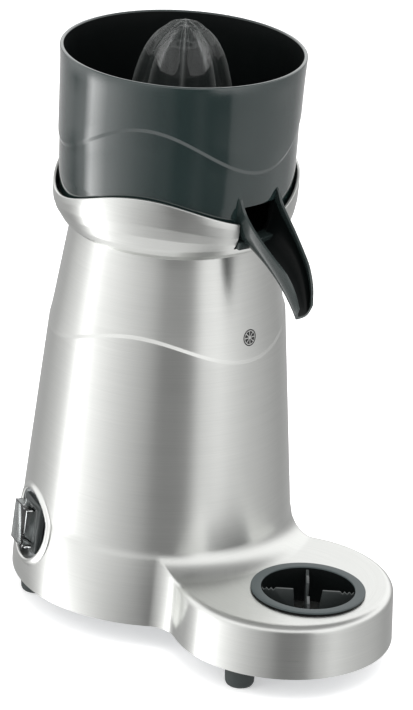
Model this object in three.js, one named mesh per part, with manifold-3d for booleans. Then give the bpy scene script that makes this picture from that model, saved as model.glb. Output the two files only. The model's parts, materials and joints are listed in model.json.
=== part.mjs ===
// Electric citrus press: a brushed metal column on a figure-of-eight foot, a juice bowl with a
// beak spout on top, a ribbed reamer on the motor's own shaft and a drip cup under the spout.
// Millimetres, +Z up, front towards -Y. All heights are above the surface the press stands on.
import * as THREE from "three";
import { mergeVertices } from "three/addons/utils/BufferGeometryUtils.js";
import Module from "manifold-3d";

const wasm = await Module();
wasm.setup();

// ---- overall sizes ----
const bowlRimZ = 361.9; // top edge of the juice bowl
const bowlRimR = 75.1;
const reamerTipZ = 380;
const skirtZ = 16.5; // lower edge of the housing
const skirtR = 91; // foot circle around the motor column
const platformR = 68.8; // foot circle under the glass
const platformReach = 115; // from the column's axis forward to the platform's centre
const platformZ = 50.6; // top of the platform
const waistBlend = 14; // hollow radius where the two foot circles meet
const creaseZ = 65; // height where the skirt runs into the column
const wall = 2.4;

// ---- column ----
const lowerConeR = 84.7; // at lowerConeZ
const lowerConeZ = 57;
const lowerConeSlope = 0.09;
const upperConeR = 69.4; // at upperConeZ
const upperConeZ = 209.5;
const upperConeSlope = 0.149;
const ledge = 0.35; // the lower cone stands this far proud
const waistZ = 190.9; // mean height of the wavy ledge
const waistSwing = 8.6;
const collarZ = 281; // mean height of the collar's wavy edge
const collarSwing = 8.6;
const collarR = 75.3;
const collarWall = 1.8;
const collarLowZ = 249.4; // the corner under the collar
const deckZ = 252; // top of the deck that carries the bowl
const deckThick = 5;
const sealHoleR = 13.3;
const notchHalf = 17.2; // the spout's slot in the collar
const notchZ = 257.2;

// ---- bowl and spout ----
const bowlWall = 2.6;
const bowlFloorZ = 258.6; // outside of the floor
const bowlLowR = 72.2; // just above the collar
const bowlWaveZ = 318.2;
const bowlWaveSwing = 13.9;
const bowlStep = 1;
const chimneyR = 15.6; // bore of the bowl's centre tube
const chimneyWall = 2.2;
const chimneyZ = 292;
const spoutWall = 2.2;
const outletHalf = 14.4;
const outletZ = 283.5;
const strainerZ = 303; // seat of the strainer in the bowl
const strainerThick = 2;
const strainerSlots = 12;

// ---- motor ----
const statorZ = 128;
const statorHigh = 50;
const statorR = 50;
const rotorR = 26.8;
const airGap = 0.8;
const journalR = 3.95;
const bearingR = 11;
const bearingHigh = 7;
const spindleR = 5.5;
const boltCircle = 43;
const hexAcross = 8; // drive hexagon on top of the spindle

// ---- drip cup ----
const cupReach = 135.2; // from the column's axis forward to the cup's centre
const cupBodyR = 32.4;
const cupFlangeR = cupBodyR + 2.9;
const cupMouthR = cupBodyR - 3.5;
const cupFloorZ = 24;
const vaneThick = 1.8;

// ---- switch ----
const switchTurn = THREE.MathUtils.degToRad(-112); // round from the front, to the left side
const switchZ = 55;
const switchReach = 81.6; // from the column's axis to the switch plate's face
const switchRingR = 24;
const bezelWide = 27;
const bezelHigh = 32;
const coverDeep = 7;
const recess = 3; // how far the switch plate lies behind the ring's rim
const plateDepth = 2;
const ringWide = 1.6;
const seatWide = 4; // the ledge that carries the switch plate

// ---- feet, gland and fits ----
const footR = 9.8;
const footFrontX = 48.6;
const footFrontReach = 129;
const footRearX = 61;
const footRearReach = -43.5;
const plateThick = 2;
const plateFit = 1.3; // room round the foot plate
const screwR = 2;
const glandZ = 36;
const glandOut = 12;
const glandFlange = 11;
const glandBodyR = 8;
const nutR = 12;
const nutHigh = 4.8;
const cordR = 3.8;
const gap = 0.3; // between fixed neighbours
const running = 0.1; // between a journal and its bearing
const around = 36; // sides of the big round shapes
const middling = 24; // of the middling ones
const small = 16; // and of the small ones

// ---- materials ----
const finish = (color, roughness, metalness, more = {}) =>
  new THREE.MeshStandardMaterial({ color, roughness, metalness, ...more });
const brushed = finish(0xc2c2be, 0.32, 1);
const bowlPlastic = finish(0x39443f, 0.18, 0);
const blackPlastic = finish(0x1b1e1d, 0.4, 0);
const rubber = finish(0x2c3333, 0.8, 0);
const smoky = finish(0x5b6461, 0.08, 0, { transparent: true, opacity: 0.45 });
const clear = finish(0xe6eaea, 0.1, 0, { transparent: true, opacity: 0.35 });
const zinc = finish(0xa7abae, 0.4, 1);
const steel = finish(0x8f9396, 0.35, 1);
const laminated = finish(0x5f6468, 0.6, 0.8);
const copper = finish(0xb06a3a, 0.45, 0.6);
const cast = finish(0x9b9fa1, 0.55, 0.9);
const ivory = finish(0xd8d4c6, 0.5, 0);

// ---- making and cutting solids ----
// A closed three.js geometry as a manifold-3d solid, faces turned outwards.
function solid(geometry) {
  const bare = geometry.clone();
  for (const name of Object.keys(bare.attributes)) {
    if (name !== "position") bare.deleteAttribute(name);
  }
  const merged = mergeVertices(bare, 1e-4);
  const corners = merged.index.array;
  const kept = [];
  for (let i = 0; i < corners.length; i += 3) {
    const [a, b, c] = [corners[i], corners[i + 1], corners[i + 2]];
    if (a !== b && b !== c && c !== a) kept.push(a, b, c);
  }
  const build = (triangles) =>
    new wasm.Manifold(
      new wasm.Mesh({
        numProp: 3,
        vertProperties: merged.attributes.position.array,
        triVerts: new Uint32Array(triangles),
      }),
    );
  const made = build(kept);
  return made.volume() < 0 ? build(kept.reverse()) : made;
}

// A manifold-3d solid back as a three.js geometry.
function geometryOf(made) {
  const mesh = made.getMesh();
  const geometry = new THREE.BufferGeometry();
  geometry.setAttribute("position", new THREE.BufferAttribute(mesh.vertProperties, 3));
  geometry.setIndex(new THREE.BufferAttribute(mesh.triVerts, 1));
  return geometry;
}

const union = (parts) => parts.reduce((sum, part) => sum.add(part));
const cut = (body, tools) => tools.reduce((rest, tool) => rest.subtract(tool), body);

// A closed (radius, height) profile turned about Z. A third value makes that corner's height
// rise and fall three times round, lowest at the front, and a fourth lets its radius follow a
// cone of that slope.
function turned(profile, sides = small) {
  const points = profile.map(([r, z]) => new THREE.Vector2(r, z));
  if (profile[0][0] > 0 || profile.at(-1)[0] > 0) points.push(points[0].clone());
  const geometry = new THREE.LatheGeometry(points, sides);
  geometry.rotateX(Math.PI / 2);
  const place = geometry.attributes.position;
  for (let i = 0; i < place.count; i += 1) {
    const [r, , swing = 0, slope = 0] = profile[(i % points.length) % profile.length];
    if (!swing) continue;
    const lift = -swing * Math.cos((3 * Math.floor(i / points.length) * 2 * Math.PI) / sides);
    const scale = (r - slope * lift) / r;
    place.setXYZ(i, place.getX(i) * scale, place.getY(i) * scale, place.getZ(i) + lift);
  }
  return solid(geometry);
}

const rod = (r, low, high, sides = small) => turned([[0, low], [r, low], [r, high], [0, high]], sides);
const tube = (inner, outer, low, high, sides = small) =>
  turned([[inner, low], [outer, low], [outer, high], [inner, high]], sides);

function block(x0, x1, y0, y1, z0, z1) {
  const geometry = new THREE.BoxGeometry(x1 - x0, y1 - y0, z1 - z0);
  geometry.translate((x0 + x1) / 2, (y0 + y1) / 2, (z0 + z1) / 2);
  return solid(geometry);
}

const moved = (made, matrix) => solid(geometryOf(made).applyMatrix4(matrix));
const shift = (x, y, z) => new THREE.Matrix4().makeTranslation(x, y, z);
const spinZ = (angle) => new THREE.Matrix4().makeRotationZ(angle);

// Rings of equally many points, one after another, joined and closed at both ends by fans.
function stacked(rings) {
  const count = rings[0].length;
  const points = rings.flat();
  const middles = [rings[0], rings.at(-1)].map((ring) =>
    ring.reduce((sum, p) => sum.add(p), new THREE.Vector3()).divideScalar(count),
  );
  const [first, last] = [points.length, points.length + 1];
  const top = (rings.length - 1) * count;
  const triangles = [];
  for (let i = 0; i < count; i += 1) {
    const next = (i + 1) % count;
    for (let k = 0; k < top; k += count) {
      triangles.push(k + i, k + next, k + next + count);
      triangles.push(k + i, k + next + count, k + i + count);
    }
    triangles.push(first, next, i, last, top + i, top + next);
  }
  const geometry = new THREE.BufferGeometry();
  geometry.setFromPoints([...points, ...middles]);
  geometry.setIndex(triangles);
  return solid(geometry);
}

// ---- the foot's outline: two circles joined by hollow blends ----
const arc = (x, y, r, from, to, steps) =>
  Array.from({ length: steps }, (_, i) => {
    const angle = from + ((to - from) * i) / steps;
    return [x + r * Math.cos(angle), y + r * Math.sin(angle)];
  });

// The outline at one height, moved in by a set amount all round.
function footprint(z, columnFull, standFull, inset = 0) {
  const [columnR, standR, blend] = [columnFull - inset, standFull - inset, waistBlend + inset];
  const [big, little] = [columnR + blend, standR + blend];
  const apart = platformReach;
  const along = (big ** 2 - little ** 2 + apart ** 2) / (2 * apart);
  const side = Math.sqrt(big ** 2 - along ** 2);
  const y = -along;
  const back = Math.atan2(along, side); // from a blend's centre to the column's
  const front = Math.atan2(apart - along, side); // and to the platform's
  const half = Math.PI / 2;
  const outline = [
    ...arc(0, 0, columnR, -back, Math.PI + back, 20),
    ...arc(-side, y, blend, back, -front, 3),
    ...arc(0, -platformReach, standR, Math.PI - front, 2 * Math.PI + front, 16),
    ...arc(side, y, blend, Math.PI + front, Math.PI - back, 3),
  ];
  return outline.map(([px, py]) => new THREE.Vector3(px, py, z));
}

const lowerCone = (z) => lowerConeR + ledge - lowerConeSlope * (z - lowerConeZ);
const upperCone = (z) => upperConeR - upperConeSlope * (z - upperConeZ);
const skirtCone = (z) => {
  const share = Math.min(1, (z - skirtZ) / (creaseZ - skirtZ));
  return skirtR + (lowerCone(creaseZ) - skirtR) * share;
};
const columnPart = (z) => skirtCone(z) - 1.5; // the outline's column end, just inside the skirt
const platformEdge = 6.5; // rounding of the platform's top edge
const platformDraft = 0.045;
const platformSide = (z) => platformR - platformDraft * (z - skirtZ);
// The hollow round where the column rises from the platform stops short of the cup's flange.
const footFillet = Math.min(14, cupReach - cupFlangeR - gap - lowerCone(platformZ));

// ---- housing: column, collar, skirt and platform in one drawn metal shell ----
function platformRings(inset, low, high) {
  const edge = platformEdge - inset;
  const start = high - edge;
  const rings = [footprint(low, columnPart(Math.max(low, skirtZ)), platformSide(low), inset)];
  for (let i = 0; i <= 3; i += 1) {
    const turn = (i * Math.PI) / 6;
    const z = start + edge * Math.sin(turn);
    const back = edge * (1 - Math.cos(turn));
    rings.push(footprint(z, columnPart(z), platformSide(z), inset + back));
  }
  return rings;
}

function columnProfile() {
  const wave = [waistSwing, lowerConeSlope];
  const edge = collarSwing;
  return turned(
    [
      [0, skirtZ],
      [skirtR, skirtZ],
      [lowerCone(creaseZ), creaseZ],
      [lowerCone(waistZ), waistZ, ...wave],
      [upperCone(waistZ + 0.8), waistZ + 0.8, waistSwing, upperConeSlope],
      [upperCone(collarLowZ), collarLowZ],
      [upperCone(collarLowZ) + 2.2, collarLowZ + 1],
      [68.9, 253.2],
      [71.4, 257.2],
      [73.6, 263, edge / 4],
      [74.8, 269, edge / 2],
      [collarR, 275, edge * 0.8],
      [collarR - 0.1, collarZ - 0.8, edge],
      [collarR - 0.7, collarZ, edge],
      [0, collarZ, 0],
    ],
    around,
  );
}

// The bowl's pocket inside the collar.
function collarPocket() {
  const inside = (r) => r - collarWall;
  return turned(
    [
      [0, deckZ],
      [inside(66.4), deckZ],
      [inside(68.9), 254],
      [inside(71.4), 257.6],
      [inside(72.9), 262],
      [inside(74.8), 269],
      [inside(collarR), 275],
      [inside(collarR), collarZ + collarSwing + 5],
      [0, collarZ + collarSwing + 5],
    ],
    around,
  );
}

function columnHollow() {
  const under = deckZ - deckThick;
  return turned(
    [
      [0, skirtZ - 4],
      [skirtR - wall, skirtZ - 4],
      [skirtR - wall, skirtZ],
      [lowerCone(creaseZ) - wall - ledge, creaseZ],
      [upperCone(waistZ - waistSwing) - wall - ledge, waistZ - waistSwing],
      [upperCone(under - 2) - wall, under - 2],
      [upperCone(under) - wall - 1.5, under],
      [0, under],
    ],
    around,
  );
}

// The hollow round at the column's foot, kept on the platform's flat top.
function foot() {
  const profile = [[lowerCone(40) - 8, 40], [lowerCone(platformZ) + footFillet, platformZ - 1]];
  for (let i = 0; i <= 4; i += 1) {
    const turn = (i * Math.PI) / 8;
    const z = platformZ + footFillet * (1 - Math.cos(turn));
    profile.push([lowerCone(z) + footFillet * (1 - Math.sin(turn)), z]);
  }
  profile.push([lowerCone(creaseZ) - 8, platformZ + footFillet]);
  const rings = [platformZ - 4, platformZ + footFillet + 2].map((z) =>
    footprint(z, columnPart(platformZ), platformSide(platformZ), platformEdge),
  );
  return turned(profile, around).intersect(stacked(rings));
}

const footPlaces = [
  [-footFrontX, -footFrontReach],
  [footFrontX, -footFrontReach],
  [-footRearX, -footRearReach],
  [footRearX, -footRearReach],
];
const plateZ = skirtZ + 1;
const bossLow = plateZ + plateThick + gap;
const bossHigh = 34;
const bossR = 5;

// A screw boss above each foot, tied to the wall by a web.
function boss([x, y]) {
  const middle = y < -60 ? -platformReach : 0;
  const reach = y < -60 ? platformSide(bossHigh) - 1 : skirtCone(bossHigh) - 1;
  const web = block(0, reach - Math.hypot(x, y - middle), -1.2, 1.2, bossLow, bossHigh);
  const angle = Math.atan2(y - middle, x);
  const column = moved(rod(bossR, bossLow, bossHigh, 16), shift(x, y, 0));
  const pilot = moved(rod(screwR + gap, bossLow - 1, bossHigh - 6, 12), shift(x, y, 0));
  return [column.add(moved(web, shift(x, y, 0).multiply(spinZ(angle)))), pilot];
}

// The switch stands on a frame of its own: local +X out of the wall, +Y along it, +Z up.
const switchTilt = Math.atan(lowerConeSlope);
const switchPlace = new THREE.Matrix4()
  .makeRotationZ(-Math.PI / 2 + switchTurn)
  .multiply(shift(switchReach, 0, switchZ))
  .multiply(new THREE.Matrix4().makeRotationY(-switchTilt));
const turnUp = new THREE.Matrix4().makeRotationY(Math.PI / 2);
const glandFace = skirtCone(glandZ - glandFlange); // where the flange meets the sloping skirt
const glandPlace = shift(0, glandFace, glandZ).multiply(new THREE.Matrix4().makeRotationX(-Math.PI / 2));
// The nut starts clear of the wall's inner face at its highest corner.
const nutTop = skirtCone(glandZ + nutR) - glandFace - wall - 1.6;
const glandLow = nutTop - nutHigh - 2;

// A round plug on the switch's axis.
const switchRod = (r, low, high) => moved(rod(r, low, high, middling), switchPlace.clone().multiply(turnUp));

function housing() {
  const beyond = 40; // far enough out to clear the skirt
  const outside = union([
    stacked(platformRings(0, skirtZ, platformZ)),
    columnProfile(),
    foot(),
    switchRod(switchRingR, -14, 1.2),
  ]);
  const inside = union([stacked(platformRings(wall, skirtZ - 4, platformZ - wall)), columnHollow()]);
  const shell = outside.subtract(inside.subtract(switchRod(switchRingR, -9, 0)));
  const behindPlate = switchRod(switchRingR + 1, -30, -recess - plateDepth).intersect(inside);
  const cupHole = rod(cupBodyR + gap + 0.4, platformZ - 10, platformZ + 10, middling);
  const boltHole = rod(screwR + gap, deckZ - deckThick - 1, deckZ + 1, 12);
  const tools = [
    collarPocket(),
    behindPlate,
    switchRod(switchRingR - ringWide, -recess, beyond),
    switchRod(switchRingR - seatWide, -12, beyond),
    block(-notchHalf, notchHalf, -90, -55, notchZ, collarZ + 20),
    rod(sealHoleR, deckZ - deckThick - 1, deckZ + 1),
    moved(cupHole, shift(0, -cupReach, 0)),
    moved(rod(glandBodyR + 0.4, glandLow, 6), glandPlace),
    ...[0, 1, 2, 3].map((i) => moved(boltHole, boltPlace(i))),
  ];
  const bosses = footPlaces.map(boss);
  const carried = cut(shell, tools).add(union(bosses.map(([body]) => body)));
  return cut(carried, bosses.map(([, pilot]) => pilot));
}

const boltPlace = (i) => spinZ(((i + 0.5) * Math.PI) / 2).multiply(shift(boltCircle, 0, 0));

// ---- foot plate, feet and their screws ----
function basePlate() {
  const inset = wall + plateFit;
  const top = plateZ + plateThick;
  const ring = (z) => footprint(z, columnPart(top), platformSide(top), inset);
  const hole = rod(screwR + gap, plateZ - 1, top + 1, 12);
  const holes = footPlaces.map(([x, y]) => moved(hole, shift(x, y, 0)));
  return cut(stacked([ring(plateZ), ring(top)]), holes);
}

const footShape = () =>
  turned(
    [
      [screwR + gap, 6],
      [5.2, 6],
      [5.2, 0],
      [footR - 1.8, 0],
      [footR - 1.2, 1.2],
      [footR, plateZ - gap],
      [screwR + gap, plateZ - gap],
    ],
    small,
  );
const footScrew = () => {
  const end = bossHigh - 7;
  return turned([[0, 2.6], [4.6, 2.6], [4.6, 5.7], [screwR, 5.7], [screwR, end], [0, end]], 10);
};

// ---- bowl with its spout ----
// The spout's stations: forward and height of its floor, forward and height of its rim, half width.
const spoutStations = [
  [70, 257.6, 71, 288.6, 16.8],
  [76.5, 257.6, 75, 282.6, 16.8],
  [84, 254.4, 82, 274.4, 16.2],
  [93.5, 248.6, 90, 267, 15],
  [102, 241, 98.4, 259.4, 13.2],
  [108, 232.5, 106.4, 252, 11],
  [111, 226.5, 112.4, 242, 8.8],
  [112.2, 222.6, 115.4, 231, 6.8],
];
const spoutSides = 10;

function spoutRing([floorY, floorZ, rimY, rimZ, half], inset, above) {
  const down = new THREE.Vector2(floorY - rimY, floorZ - rimZ);
  const deep = down.length();
  down.normalize();
  const place = (x, depth) => new THREE.Vector3(x, -(rimY + down.x * depth), rimZ + down.y * depth);
  const soften = (value, power) => Math.sign(value) * Math.abs(value) ** power;
  const ring = [];
  for (let i = 0; i <= spoutSides; i += 1) {
    const turn = (i * Math.PI) / spoutSides;
    const x = -(half - inset) * soften(Math.cos(turn), 0.55);
    ring.push(place(x, (deep - inset) * soften(Math.sin(turn), 0.75)));
  }
  if (above) ring.push(place(half - inset, -above), place(-(half - inset), -above));
  return ring;
}

function spoutOutside() {
  return stacked(spoutStations.map((station) => spoutRing(station, 0, 0)));
}

function spoutInside() {
  const rings = spoutStations.slice(1).map((station) => spoutRing(station, spoutWall, 6));
  const push = (ring, y, z) => ring.map((p) => p.clone().add(new THREE.Vector3(0, y, z)));
  return stacked([push(rings[0], 6, 0), ...rings, push(rings.at(-1), -1, -8)]);
}

function bowlBody() {
  const step = bowlStep / 2;
  const low = bowlLowR + 0.5;
  const high = bowlRimR - 1;
  const swing = bowlWaveSwing;
  return turned(
    [
      [chimneyR, bowlFloorZ - 2],
      [62, bowlFloorZ - 3.6],
      [65.4, bowlFloorZ - 2.2],
      [68.6, 262],
      [71, 270],
      [bowlLowR, 284],
      [low, bowlWaveZ, swing],
      [low + 2 * step, bowlWaveZ + 1.4, swing],
      [high, 342],
      [bowlRimR, bowlRimZ - 1],
      [bowlRimR - 0.5, bowlRimZ],
      [bowlRimR - bowlWall + 0.4, bowlRimZ],
      [bowlRimR - bowlWall, bowlRimZ - 0.8],
      [71.2, 330],
      [70, strainerZ],
      [68.4, strainerZ - 0.5],
      [67, 268],
      [63, bowlFloorZ + 2.2],
      [chimneyR + chimneyWall, bowlFloorZ + 4],
      [chimneyR + chimneyWall - 0.3, chimneyZ],
      [chimneyR, chimneyZ],
    ],
    around,
  );
}

function juiceBowl() {
  const half = spoutStations[0].at(-1);
  const root = block(-half, half, -bowlRimR - 0.5, -66, notchZ + 0.5, outletZ - 0.5);
  const spoutRoot = root.intersect(rod(bowlRimR + 0.4, 250, 300, around));
  const outlet = block(-outletHalf, outletHalf, -80, -58, bowlFloorZ + 3, outletZ);
  const body = bowlBody().add(spoutRoot).add(cut(spoutOutside(), [rod(69, 240, 300, around)]));
  return cut(body, [outlet, spoutInside()]);
}

// ---- strainer ----
function strainer() {
  const top = strainerZ + gap + strainerThick;
  const body = turned(
    [
      [20, 296.6],
      [60, strainerZ - 1],
      [62, strainerZ + gap],
      [69.4, strainerZ + gap],
      [69.4, top],
      [61, top],
      [59, top - 1.6],
      [22.4, 299],
      [22.4, 302.5],
      [20, 302.5],
    ],
    middling,
  );
  const slots = [];
  for (let i = 0; i < strainerSlots; i += 1) {
    const turn = spinZ((i * 2 * Math.PI) / strainerSlots);
    slots.push(moved(block(27, 40, -1.1, 1.1, 290, 310), turn));
    slots.push(moved(block(44, 57, -1.6, 1.6, 290, 310), turn));
  }
  return cut(body, slots);
}

// ---- reamer ----
// Depth below the tip and radius over the ribs.
const reamerLine = [
  [1, 3],
  [4, 9],
  [8, 15],
  [13, 19.4],
  [19.6, 23.4],
  [26, 26.6],
  [33, 28.8],
  [44, 31],
  [56, 32.6],
];
const ribs = 8;
const reamerBase = reamerTipZ - reamerLine.at(-1)[0];
const flangeR = 34;
const hubR = 9.6;
const hubLow = 288;

function reamer() {
  const sides = ribs * 4;
  const share = [1, 0.3, 0, 0.3]; // one rib's height, a quarter of its pitch at a time
  const rings = [...reamerLine].reverse().map(([depth, r]) =>
    Array.from({ length: sides }, (_, i) => {
      const turn = (i * 2 * Math.PI) / sides - 3 * Math.PI / 4;
      const groove = Math.min(4.2, r * 0.3) * Math.min(1, (60 - depth) / 12);
      const here = r - groove * (1 - share[i % 4]);
      return new THREE.Vector3(here * Math.cos(turn), here * Math.sin(turn), reamerTipZ - depth);
    }),
  );
  const dome = stacked(rings).add(rod(0.9, reamerTipZ - 12, reamerTipZ, 12));
  const under = reamerBase - 2.5;
  const flange = turned([[0, under], [flangeR, under], [flangeR, reamerBase], [0, reamerBase + 1]], middling);
  const hollow = turned(
    [
      [0, reamerBase - 4],
      [28, reamerBase - 4],
      [26.6, reamerBase + 6],
      [21.6, 346],
      [12, 360],
      [0, 364],
    ],
    middling,
  );
  const hub = rod(hubR, hubLow, 366);
  const shell = dome.add(flange).subtract(hollow);
  const webs = [0, 1].map((i) =>
    moved(block(-24, 24, -1, 1, 330, 352), spinZ((i * Math.PI) / 2)).intersect(dome),
  );
  return cut(union([shell, hub, ...webs]), [hexagon(hexAcross + 2 * gap, hubLow - 1, spindleTop + 2)]);
}

const hexagon = (across, low, high) => rod(across / Math.sqrt(3), low, high, 6);
const spindleTop = 334;
const hexLow = 270;

// ---- motor ----
const shieldThick = 4;
const upperLid = statorZ + statorHigh + 22; // outer faces of the two end shields
const lowerLid = statorZ - 30.3;
const upperBearingZ = upperLid - shieldThick - gap - bearingHigh;
const lowerBearingZ = lowerLid + shieldThick + gap;
const shieldInner = statorR - 4;

function spindle() {
  const body = turned([
    [0, lowerBearingZ - 3],
    [journalR, lowerBearingZ - 3],
    [journalR, lowerBearingZ + bearingHigh + 1.5],
    [spindleR, lowerBearingZ + bearingHigh + 1.5],
    [spindleR, upperBearingZ - 1.5],
    [journalR, upperBearingZ - 1.5],
    [journalR, hexLow + 4],
    [0, hexLow + 4],
  ]);
  return body.add(hexagon(hexAcross, hexLow, spindleTop));
}

const statorCore = () => {
  const bore = rotorR + airGap;
  const body = tube(bore, statorR, statorZ, statorZ + statorHigh, middling);
  const hole = rod(screwR + gap, statorZ - 1, statorZ + statorHigh + 1, 10);
  return cut(body, [0, 1, 2, 3].map((i) => moved(hole, boltPlace(i))));
};
const windingR = 39;
const windingHigh = 11;
const winding = (low) =>
  turned(
    [
      [rotorR + 3, low],
      [windingR, low],
      [windingR, low + windingHigh - 4],
      [windingR - 3, low + windingHigh],
      [rotorR + 6, low + windingHigh],
      [rotorR + 3, low + windingHigh - 3],
    ],
    middling,
  );

// An end shield: a cup on the stator with a bearing seat at its middle.
function shield(open, closed, seatFrom) {
  const into = Math.sign(open - closed);
  const thick = shieldThick * into;
  const between = (inner, outer, a, b, sides) => tube(inner, outer, Math.min(a, b), Math.max(a, b), sides);
  const body = union([
    between(shieldInner, statorR, open, closed, middling),
    between(spindleR + 0.5, statorR, closed, closed + thick, middling),
    between(bearingR + gap, bearingR + 4, closed, seatFrom, small),
  ]);
  const [low, high] = [lowerLid - 10, upperLid + 10];
  const boltHole = rod(screwR + gap, low, high, 10);
  const vent = block(20, shieldInner - 12, -3.4, 3.4, low, high);
  const ears = [0, 1, 2, 3].map((i) => moved(boltHole, boltPlace(i)));
  const vents = [0, 1, 2, 3].map((i) => moved(vent, spinZ((i * Math.PI) / 2)));
  return cut(body, [...ears, ...vents]);
}

const bearing = (low) => tube(journalR + running, bearingR, low, low + bearingHigh, 20);

const fanZ = 216;
const fanR = 34;
const fanHigh = 12;
const fanBlades = 8;

function fan() {
  const hub = tube(journalR + gap, 9, fanZ, fanZ + fanHigh);
  const disc = tube(journalR + gap, fanR, fanZ, fanZ + 1.5, middling);
  const blade = block(8, fanR - 1, -0.8, 0.8, fanZ, fanZ + fanHigh - 1);
  const blades = Array.from({ length: fanBlades }, (_, i) =>
    moved(blade, spinZ((i * 2 * Math.PI) / fanBlades + 0.2)),
  );
  return union([hub, disc, ...blades]);
}

// ---- drip cup and its vanes ----
const dripCup = () =>
  turned(
    [
      [0, cupFloorZ - 2],
      [cupBodyR - 3.4, cupFloorZ - 2],
      [cupBodyR - 2.2, cupFloorZ - 0.6],
      [cupBodyR, platformZ - 2],
      [cupBodyR, platformZ + gap],
      [cupFlangeR, platformZ + gap],
      [cupFlangeR, platformZ + 1.2],
      [cupFlangeR - 0.5, platformZ + 1.8],
      [cupMouthR + 0.4, platformZ + 1.8],
      [cupMouthR, platformZ + 1.2],
      [cupMouthR - 2.2, cupFloorZ],
      [0, cupFloorZ],
    ],
    middling,
  );

function dripGrid() {
  const top = platformZ + 0.4;
  const low = cupFloorZ + gap;
  const reach = cupMouthR - 0.7;
  const lowReach = cupMouthR - 3;
  const notch = 9;
  const outline = new THREE.Shape();
  const halfLine = [[notch - 2, 34], [notch, top]];
  for (const tooth of [0, 1, 2]) {
    const x = reach - 8.4 + tooth * 2.8;
    halfLine.push([x, top], [x + 1.4, top - 1.6]);
  }
  halfLine.push([reach, top], [lowReach, low]);
  const left = [...halfLine].reverse().map(([x, z]) => [-x, z]);
  outline.setFromPoints([...left, ...halfLine].map(([x, z]) => new THREE.Vector2(x, z)));
  const plate = new THREE.ExtrudeGeometry(outline, { depth: vaneThick, bevelEnabled: false });
  plate.translate(0, 0, -vaneThick / 2);
  plate.rotateX(Math.PI / 2);
  const vane = solid(plate);
  return union([moved(vane, spinZ(Math.PI / 4)), moved(vane, spinZ(-Math.PI / 4))]);
}

// ---- switch pieces, in the switch's own frame ----
const openHalfWide = 7.6;
const openHalfHigh = 11.6;

const switchPlateThick = 1.6;
const bezelFace = -recess + gap + switchPlateThick + gap; // back of the bezel's rim
const bezelThick = 4.4;

// A block centred on the switch's axis, from one depth to another.
const centred = (from, to, wide, high) => block(from, to, -wide / 2, wide / 2, -high / 2, high / 2);

function switchPlate() {
  const low = -recess + gap;
  const plate = moved(rod(switchRingR - ringWide - gap, low, low + switchPlateThick, middling), turnUp);
  return cut(plate, [centred(-9, 9, bezelWide - 5.4, bezelHigh - 5.4)]);
}

function switchBezel() {
  const rim = centred(bezelFace, bezelFace + bezelThick, bezelWide, bezelHigh);
  const body = centred(-24, bezelFace + 2, bezelWide - 6, bezelHigh - 6);
  const mouth = centred(-8, bezelFace + 9, 2 * openHalfWide, 2 * openHalfHigh);
  return cut(rim.add(body), [mouth]);
}

const rockerAngle = THREE.MathUtils.degToRad(10);
const pivotX = -1.2; // the rocker's axle, behind the bezel's face

function rocker() {
  const outline = new THREE.Shape();
  const half = openHalfHigh - 0.8;
  const corners = [
    [-2.4, -half + 1],
    [3.6, -half],
    [2.2, 0],
    [3.6, half],
    [-2.4, half - 1],
  ];
  outline.setFromPoints(corners.map(([x, z]) => new THREE.Vector2(x, z)));
  const wide = 2 * openHalfWide - 1;
  const body = new THREE.ExtrudeGeometry(outline, { depth: wide, bevelEnabled: false });
  body.translate(0, 0, -wide / 2);
  body.rotateX(Math.PI / 2);
  body.rotateY(-rockerAngle);
  body.translate(pivotX, 0, 0);
  return solid(body);
}

function splashCover() {
  const face = bezelFace + bezelThick + gap;
  const [wide, high] = [2 * openHalfWide + 4.4, 2 * openHalfHigh + 2.8];
  const outer = centred(face, face + coverDeep, wide, high);
  return outer.subtract(centred(face - 1, face + coverDeep - 1, wide - 2, high - 2));
}

// ---- cable gland, along the outward axis of its own frame ----
const cableGland = () =>
  turned([
    [cordR, glandLow],
    [glandBodyR, glandLow],
    [glandBodyR, gap],
    [glandFlange, gap],
    [glandFlange, 3.4],
    [8.4, 4],
    [6.6, glandOut],
    [cordR, glandOut],
  ]);
const glandNut = () => {
  const low = nutTop - nutHigh;
  return cut(rod(nutR, low, nutTop, 6), [rod(glandBodyR + gap, low - 1, nutTop + 1)]);
};

// ---- electrical pieces on the foot plate ----
const floorZ = plateZ + plateThick + gap;
const capacitorR = 15;
const capacitorPlace = [38, 22];
const capacitorHigh = 52;
const capacitor = () => {
  const top = floorZ + capacitorHigh;
  return turned([[0, floorZ], [capacitorR, floorZ], [capacitorR, top - 2], [capacitorR - 2, top], [0, top]]);
};
const capacitorClip = () => {
  const band = tube(capacitorR + gap, capacitorR + 1.6, floorZ + 18, floorZ + 26, small);
  const leg = block(capacitorR + gap, capacitorR + 1.8, -5, 5, floorZ, floorZ + 26);
  const toe = block(capacitorR + gap, capacitorR + 10, -5, 5, floorZ, floorZ + 1.4);
  return union([band, leg, toe]).subtract(rod(capacitorR + gap, floorZ - 1, floorZ + 40, small));
};
const terminalBlock = () => {
  const body = block(-21, 21, -8, 8, floorZ, floorZ + 13);
  const wells = [-15, -5, 5, 15].map((x) => moved(rod(2.6, floorZ + 6, floorZ + 14, 10), shift(x, 0, 0)));
  return cut(body, wells);
};
const earthStud = () => union([rod(2.5, floorZ, floorZ + 14, 12), rod(5, floorZ, floorZ + 3.4, 6)]);

// ---- the assembly ----
const press = new THREE.Group();
// The origin is the middle of everything's outline on the ground.
const frontReach = platformReach + platformR;
const rearReach = glandFace + glandOut;
press.position.y = (frontReach - rearReach) / 2;

function add(name, made, material, parent = press) {
  const mesh = new THREE.Mesh(geometryOf(made), material);
  mesh.name = name;
  parent.add(mesh);
  return mesh;
}

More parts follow.
